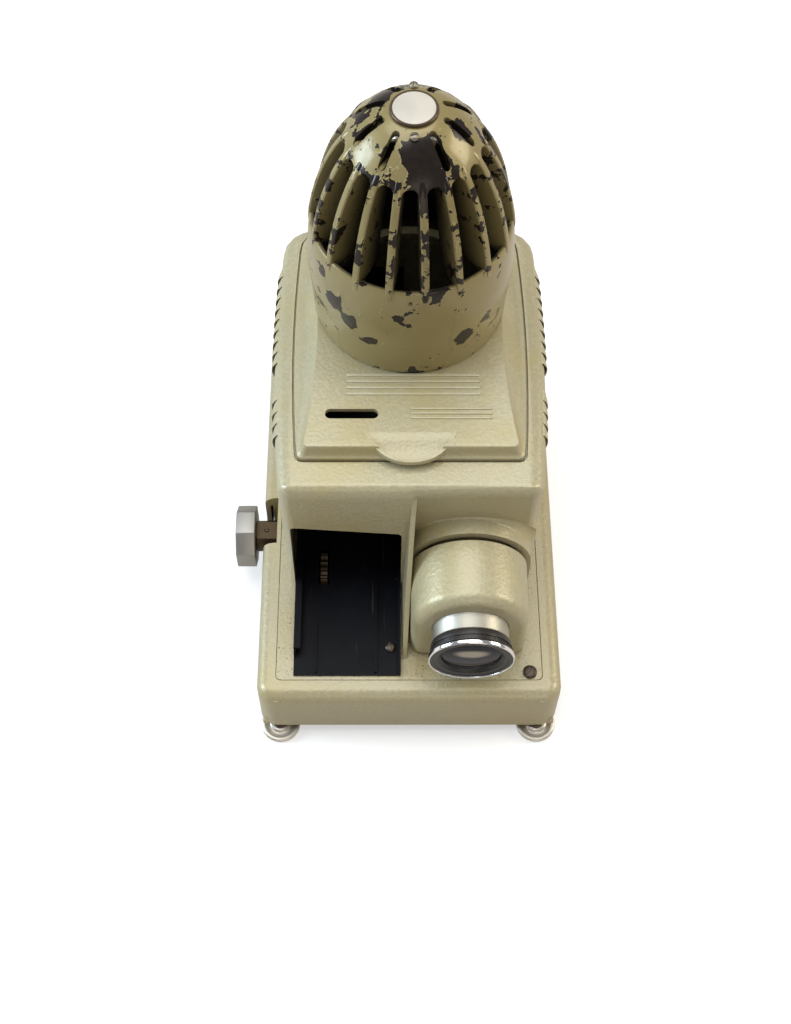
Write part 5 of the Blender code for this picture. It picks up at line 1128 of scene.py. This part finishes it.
# %% Hinge arms and plain ornament
PIN = middle("hinge_pin_left")
arms = []
for sign in (-1, 1):
    eye = arc(PIN.y, PIN.z, 3.4, 17, 0.0, 180.0)
    outline = eye + [(LID_BACK - 6.0, 154.6), (PIN.y + 1.5, 154.6)]
    arms.append(prism(f"arm_{sign}", "X", outline, sign * 40.0 - 4.0, sign * 40.0 + 4.0))
    pin_hole = prism("pin_hole", "X", arc(PIN.y, PIN.z, 1.8, 24), sign * 40.0 - 9, sign * 40.0 + 9)
    carved(arms[-1], [pin_hole])
bars = []
BAR_PLACES = [(-35.0, 38.0, 7.0 + 4.1 * i, 8.7 + 4.1 * i) for i in range(4)]
BAR_PLACES += [(0.0, 44.0, -8.4 + 3.0 * i, -7.2 + 3.0 * i) for i in range(3)]
for x0, x1, y0, y1 in BAR_PLACES:
    rings = []
    for inset, z in ((0.0, PANEL_Z - 0.4), (0.0, PANEL_Z + 0.5), (0.12, PANEL_Z + 0.75), (0.4, PANEL_Z + 0.85)):
        outline = rounded(x0 + inset, x1 - inset, y0 + inset, y1 - inset, 0.15, 3)
        rings.append([(x, y, z) for x, y in outline])
    bars.append(loft(f"bar_{len(bars)}", rings))
dressed(joined(lid, *arms), "lid", ENAMEL, "hammertone", "lid")
dressed(joined(*bars), "lid", ORNAMENT, "hammertone").name = "lid_ornament"

# %% [markdown]
# The lens carriage is a drum with a flat foot. It is a loft of arches whose radius shrinks along a quarter circle at
# the front, so the nose is rounded as on the casting. The sleeve, the hollow and the bore follow as cuts.

# %% Lens carriage
NOSE = 7.0
DRUM_BACK = -57.6
rings = [[(x, DRUM_BACK, z) for x, z in arch_points(OPTIC_RADIUS - 0.4, CARRIAGE_LOW.z)]]
rings += [[(x, DRUM_BACK - 0.4, z) for x, z in arch_points(OPTIC_RADIUS, CARRIAGE_LOW.z)]]
for i in range(9):
    angle = math.radians(90.0 * i / 8)
    inset = NOSE * (1 - math.cos(angle))
    y = CARRIAGE_LOW.y + NOSE * (1 - math.sin(angle))
    rings.append([(x, y, z) for x, z in arch_points(OPTIC_RADIUS - inset, CARRIAGE_LOW.z)])
drum = loft("lens_drum", rings)
sleeve = turned("sleeve", "Y", (OPTIC.x, OPTIC.z), [(25.0, DRUM_BACK - 5), (25.0, CARRIAGE_HIGH.y - 0.4), (24.6, CARRIAGE_HIGH.y)], 96)
lug = prism("lug", "Y", [(16, 58), (24, 58), (24, 72), (16, 72)], -20.0, -10.0)
carved(drum, [sleeve, lug], "UNION")
inside = prism("inside", "Y", arch_points(OPTIC_RADIUS - 4.0, CARRIAGE_LOW.z - 5), DRUM_BACK + 5, CARRIAGE_LOW.y + 9.0)
kept = turned("kept", "Y", (OPTIC.x, OPTIC.z), [(24.6, CARRIAGE_LOW.y), (24.6, DRUM_BACK + 9)], 96)
carved(inside, [kept])
bore = turned("bore", "Y", (OPTIC.x, OPTIC.z), [(21.55, CARRIAGE_LOW.y - 5), (21.55, CARRIAGE_HIGH.y + 5)], 96)
carved(drum, [inside, bore])
eased(drum, 0.5, 2, 50.0)
dressed(drum, "lens_carriage", ENAMEL, "hammertone", "lens_carriage")

# %% [markdown]
# The lens itself is all lathe work: a bright barrel, a black knurled ring, and a bright bezel round a black cone
# that leads to the coated glass. The knurl's ribs are copies of one rib round the optical axis.

# %% Lens barrel and rings
AXIS = (OPTIC.x, OPTIC.z)
barrel_low, barrel_high = span("lens_barrel")
front, back = barrel_low.y, barrel_high.y
profile = [(18.0, back), (20.9, back), (21.25, back - 0.4), (21.25, front + 9.3), (21.0, front + 8.8), (21.0, front + 8.2)]
profile += [(21.25, front + 7.8), (21.25, front + 0.3), (21.0, front), (18.2, front), (18.0, front + 0.4)]
dressed(turned("barrel_tube", "Y", AXIS, profile, 128, around=True), "lens", BARREL_METAL, "aluminium", "lens_barrel")
grip_low, grip_high = span("lens_grip_ring")
g0, g1 = grip_low.y, grip_high.y
profile = [(21.5, g0), (22.6, g0), (22.9, g0 + 0.4), (22.9, g0 + 1.0), (22.3, g0 + 1.3), (22.3, g0 + 3.0), (22.9, g0 + 3.2)]
profile += [(22.9, g0 + 3.8), (22.2, g0 + 4.2), (22.2, g1 - 0.6), (21.9, g1), (21.5, g1)]
dressed(turned("grip_ring", "Y", AXIS, profile, 128, around=True), "lens", BAKELITE, "bakelite", "lens_grip_ring")
rib = prism("rib", "Y", [(22.0, -0.26), (22.55, -0.2), (22.55, 0.2), (22.0, 0.26)], g0 + 1.2, g0 + 3.1)
for vertex in rib.data.vertices:
    vertex.co -= SHIFT
    vertex.co.y += SHIFT.y
ribs = {"Count": 96, "First angle": 0.0, "Axis": (0.0, 1.0, 0.0), "Axis point": SHIFT + Vector((OPTIC.x * MM, -SHIFT.y, OPTIC.z * MM)), "Material": BAKELITE}
rib.name = "grip_ribs"
dressed(grown(rib, ROUND, ribs), "lens", BAKELITE, "bakelite")
ring_low, ring_high = span("lens_front_ring")
f0, f1 = ring_low.y, ring_high.y
profile = [(22.9, f1), (23.6, f1), (24.0, f1 - 0.5), (24.0, f0 + 0.7), (23.8, f0 + 0.2), (23.5, f0), (23.1, f0 + 0.1), (22.9, f0 + 0.5)]
dressed(turned("bezel", "Y", AXIS, profile, 128, around=True), "lens", CHROME, "chrome", "lens_front_ring")
profile = [(23.0, f1 - 0.2), (23.0, f0 + 0.45), (21.6, f0 + 0.4), (21.2, f0 + 0.75), (18.9, f0 + 1.05), (18.6, f0 + 0.9)]
profile += [(18.2, f0 + 1.2), (16.6, f1 - 0.1), (16.6, f1)]
dressed(turned("name_ring", "Y", AXIS, profile, 128, around=True), "lens", NAME_RING, "bakelite")


def lens_glass(name, node, facing):
    """A domed element; facing is -1 towards the front and 1 towards the back."""
    low, high = span(node)
    edge, crown = (high.y, low.y) if facing < 0 else (low.y, high.y)
    rim = crown - facing * 2.6
    radius = (high.x - low.x) / 2
    profile = [(0.2, edge), (radius, edge), (radius, rim)]
    profile += [(radius * math.cos(math.radians(a)), rim + (crown - rim) * math.sin(math.radians(a)) ** 1.3) for a in range(15, 90, 10)]
    made = turned(name, "Y", AXIS, profile + [(0.2, crown)], 96)
    return dressed(made, "lens", COATED_GLASS, "glass", node)


lens_glass("front_glass", "front_lens_element", -1)
lens_glass("rear_glass", "rear_lens_element", 1)

# %% [markdown]
# The focus knob is an octagon of bar stock with lightly broken edges, and its face is brushed. Behind it a polished
# steel hub with a flat holds it to the shaft by a small grub screw.

# %% Focus knob and hub
centre = (KNOB.y, KNOB.z)
octagon = [(u, v) for u, v in arc(*centre, 19.0, 8, 22.5)]
knob = prism("knob", "X", octagon, KNOB_LOW.x, KNOB_HIGH.x)
carved(knob, [prism("shaft_hole", "X", arc(*centre, 3.3, 32), KNOB_LOW.x + 4.0, KNOB_HIGH.x + 5)])
eased(knob, 0.6, 3)
dish = turned("dish", "X", centre, [(0.3, KNOB_LOW.x - 1), (13.5, KNOB_LOW.x - 1), (12.8, KNOB_LOW.x + 0.7), (0.3, KNOB_LOW.x + 0.9)], 96)
carved(knob, [dish])
dressed(knob, "focus_knob", KNOB_METAL, "aluminium", "focus_knob")
hub_low, hub_high = span("focus_hub")
profile = [(3.3, hub_low.x), (9.1, hub_low.x), (9.5, hub_low.x + 0.4), (9.5, hub_high.x - 0.4), (9.1, hub_high.x), (3.3, hub_high.x)]
hub = turned("knob_hub", "X", centre, profile, 96, around=True)
flat = prism("hub_flat", "X", [(centre[0] - 14, centre[1] + 7.5), (centre[0] + 14, centre[1] + 7.5), (centre[0] + 14, centre[1] + 14), (centre[0] - 14, centre[1] + 14)], hub_low.x - 2, hub_high.x + 2)
carved(hub, [flat])
dressed(hub, "focus_knob", HUB_METAL, "steel", "focus_hub")
screw_x = (hub_low.x + hub_high.x) / 2 - 0.5
profile = [(0.1, centre[1] + 7.2), (1.5, centre[1] + 7.2), (1.5, centre[1] + 7.9), (1.2, centre[1] + 8.15), (0.1, centre[1] + 8.15)]
grub = turned("hub_grub_screw", "Z", (screw_x, centre[0]), profile, 32)
carved(grub, [prism("grub_slot", "Z", [(screw_x - 2, centre[0] - 0.2), (screw_x + 2, centre[0] - 0.2), (screw_x + 2, centre[0] + 0.2), (screw_x - 2, centre[0] + 0.2)], centre[1] + 7.7, centre[1] + 9)])
dressed(grub, "focus_knob", DARK_STEEL, "steel")

# %% [markdown]
# Two levelling feet stand at the front. Each is a turned disc with a raised rim on a threaded stem. The rear feet
# are rubber pads.

# %% Feet
for hand in ("left", "right"):
    low, high = span("foot_disc_" + hand)
    x, y = (low.x + high.x) / 2, (low.y + high.y) / 2
    rim = (high.x - low.x) / 2
    profile = [(0.2, low.z), (rim - 1.2, low.z), (rim - 0.3, 0.4), (rim, 1.1), (rim, 2.3), (rim - 0.35, 2.9), (rim - 1.0, 3.2)]
    profile += [(rim - 2.4, 3.0), (rim - 4.2, 2.6), (rim - 5.2, 2.8), (rim - 5.6, 3.6), (rim - 5.9, high.z - 0.2), (rim - 6.3, high.z)]
    profile += [(0.2, high.z)]
    disc = turned("foot_pad_" + hand, "Z", (x, y), profile, 96)
    dressed(disc, "foot_disc_" + hand, FOOT_METALS[hand], "aluminium", "foot_disc_" + hand)
    low, high = span("foot_screw_" + hand)
    profile = [(0.2, low.z)]
    turns = int((high.z - low.z) / 0.9)
    for i in range(turns):
        z = low.z + 0.9 * i
        profile += [(2.15, z + 0.05), (2.5, z + 0.35), (2.5, z + 0.5), (2.15, z + 0.8)]
    thread = turned("foot_thread_" + hand, "Z", (x, y), profile + [(0.2, high.z)], 48, smooth=20.0)
    collar = turned("foot_collar_" + hand, "Z", (x, y), [(0.2, low.z), (4.2, low.z), (4.5, low.z + 0.3), (4.5, 8.0), (4.2, 8.3), (0.2, 8.3)], 48)
    dressed(joined(thread, collar), "foot_screw_" + hand, DARK_STEEL, "blackened_steel", "foot_screw_" + hand)
    low, high = span("rear_foot_" + hand)
    x, y = (low.x + high.x) / 2, (low.y + high.y) / 2
    rim = (high.x - low.x) / 2
    profile = [(0.2, low.z), (rim - 1.8, low.z), (rim - 0.6, 0.4), (rim, 1.4), (rim - 0.8, high.z), (0.2, high.z)]
    dressed(turned("rubber_foot_" + hand, "Z", (x, y), profile, 72), "base", RUBBER, "rubber", "rear_foot_" + hand)

# %% [markdown]
# What is left shows only from behind, from below or with the lid open: the rear panel, the slide changer, the lamp
# and the drives. Their shapes come from the model as they are. Some get softened edges, and all get a finish.

# %% Rear panel and inner pieces
BODY_OF = {node: body for body, nodes in frame["record"]["behaviour"]["bodies"].items() for node in nodes}
SOFT_PIECES = {
    "mains_inlet": (BAKELITE, 0.4, "bakelite"),
    "power_switch": (BAKELITE, 0.4, "bakelite"),
    "power_switch_rocker": (BAKELITE, 0.5, "bakelite"),
    "remote_socket": (BAKELITE, 0.4, "bakelite"),
    "advance_button": (RUBBER, 0.0, "bakelite"),
    "slide_gate": (PLATE_BLACK, 0.3, "black_enamel"),
    "tunnel_shield": (PLATE_BLACK, 0.0, "black_enamel"),
    "condenser_holder": (PLATE_BLACK, 0.3, "black_enamel"),
    "reflector": (CHROME, 0.0, "chrome"),
    "lamp_bulb": (CLEAR_GLASS, 0.0, "glass"),
    "lamp_socket": (CERAMIC, 0.3, "ceramic"),
    "base_plate": (PLATE_BLACK, 0.3, "black_enamel"),
    "slide_pusher": (STEEL, 0.2, "steel"),
}
for node, (finish, width, slot) in SOFT_PIECES.items():
    softened(node + "_finished", node, width, finish, slot, BODY_OF[node])

# %% Painted shade: a black sheet, not in the model, closes the tunnel's end so that no daylight shows through the chimney
sheet = [(-65.0, 117.2), (-65.0, 118.2), (-2.6, 118.2), (-2.6, 60.0), (-3.6, 60.0), (-3.6, 117.2)]
dressed(prism("painted_shade_sheet", "Y", sheet, 113.2, 132.2), "base", PLATE_BLACK, "black_enamel")

# %% Finishes on the pieces that keep their own mesh
BY_NAME = {
    "changer_guide_rod": STEEL, "changer_motor": STEEL, "changer_pinion": BRASS, "condenser_front": CLEAR_GLASS,
    "condenser_rear": CLEAR_GLASS, "heat_filter": HEAT_GLASS, "fan_impeller": PLATE_BLACK, "fan_motor": STEEL,
    "focus_rack": BRASS, "focus_shaft": STEEL, "lamp_bracket": STEEL, "shaft_bracket": STEEL, "shaft_bush": BRASS,
    "slide_shuttle": BRASS, "transport_bracket": STEEL, "transport_wheel": BRONZE, "hinge_pin_left": STEEL,
    "hinge_pin_right": STEEL, "base_plate_screw_front_left": STEEL, "base_plate_screw_front_right": STEEL,
    "base_plate_screw_rear_left": STEEL, "base_plate_screw_rear_right": STEEL,
}
for node, finish in BY_NAME.items():
    for place in frame["nodes"][node].material_slots:
        place.material = finish
print("pieces with their own mesh:", len(BY_NAME))

# %% [markdown]
# The set is a plain pale floor that runs up into the world's white. The floor keeps the soft shadow under the base.
# Only what the camera sees directly, or in metal and glass, is lifted towards white, so the object's light stays.

# %% Floor
bm = bmesh.new()
bmesh.ops.create_grid(bm, x_segments=8, y_segments=8, size=3.0)
bmesh.ops.translate(bm, verts=bm.verts, vec=(0.0, 0.0, -0.0005))
floor = mesh_object("floor", bm)
PAPER = Finish("pale_floor", (0.7, 0.7, 0.69), 0.8, Emission_Strength=1.0)
seen = PAPER.node("ShaderNodeLightPath", None, None, "Is Camera Ray")
mirrored = PAPER.node("ShaderNodeLightPath", None, None, "Is Glossy Ray")
through = PAPER.node("ShaderNodeLightPath", None, None, "Is Transmission Ray")
lift = seen.high(mirrored * 0.6).high(through * 0.6)
PAPER.feed("Base Color", PAPER.blend(seen, (0.40, 0.36, 0.30), (0.74, 0.74, 0.74)))
PAPER.feed("Emission Color", PAPER.blend(lift, (0.0, 0.0, 0.0), (0.46, 0.46, 0.46)))
floor.data.materials.append(PAPER.material)

# %% [markdown]
# One large soft lamp hangs above, a little to the left and behind, so the tops are bright and the fronts fall to
# half of that. A weak warm lamp from the front right keeps the fronts legible, and the world fills in the rest.


# %% Light
def soft_lamp(name, place, target, size, power, colour):
    lamp = bpy.data.lights.new(name, "AREA")
    lamp.shape = "RECTANGLE"
    lamp.size, lamp.size_y = size
    lamp.energy = power
    lamp.color = colour
    made = bpy.data.objects.new(name, lamp)
    bpy.context.scene.collection.objects.link(made)
    made.location = place
    made.rotation_euler = (Vector(target) - Vector(place)).to_track_quat("-Z", "Y").to_euler()
    return made


soft_lamp("overhead", (-0.15, 0.3, 1.8), (0.0, 0.0, 0.12), (1.7, 1.4), 21.5, (1.0, 0.995, 0.97))
soft_lamp("left_cool", (-1.7, 0.1, 0.75), (0.0, 0.0, 0.12), (0.8, 0.8), 26.0, (0.68, 0.84, 1.0))
soft_lamp("right_warm", (1.7, 0.2, 0.95), (0.0, 0.0, 0.12), (0.8, 0.8), 14.0, (1.0, 0.92, 0.74))
soft_lamp("front_fill", (0.4, -1.9, 0.8), (0.0, 0.0, 0.1), (1.0, 1.0), 4.5, (1.0, 0.88, 0.66))
world = bpy.data.worlds.new("studio")
bpy.context.scene.world = world
world.use_nodes = True
tree = world.node_tree
backdrop = tree.nodes["Background"]
path = tree.nodes.new("ShaderNodeLightPath")
mix = tree.nodes.new("ShaderNodeMix")
mix.data_type = "RGBA"
mix.inputs[6].default_value = (0.30, 0.30, 0.31, 1.0)
mix.inputs[7].default_value = (1.0, 1.0, 1.0, 1.0)
tree.links.new(path.outputs["Is Camera Ray"], mix.inputs[0])
tree.links.new(mix.outputs[2], backdrop.inputs["Color"])
backdrop.inputs["Strength"].default_value = 1.0
bpy.context.scene.view_settings.view_transform = "Standard"
print("lamps and world are set")
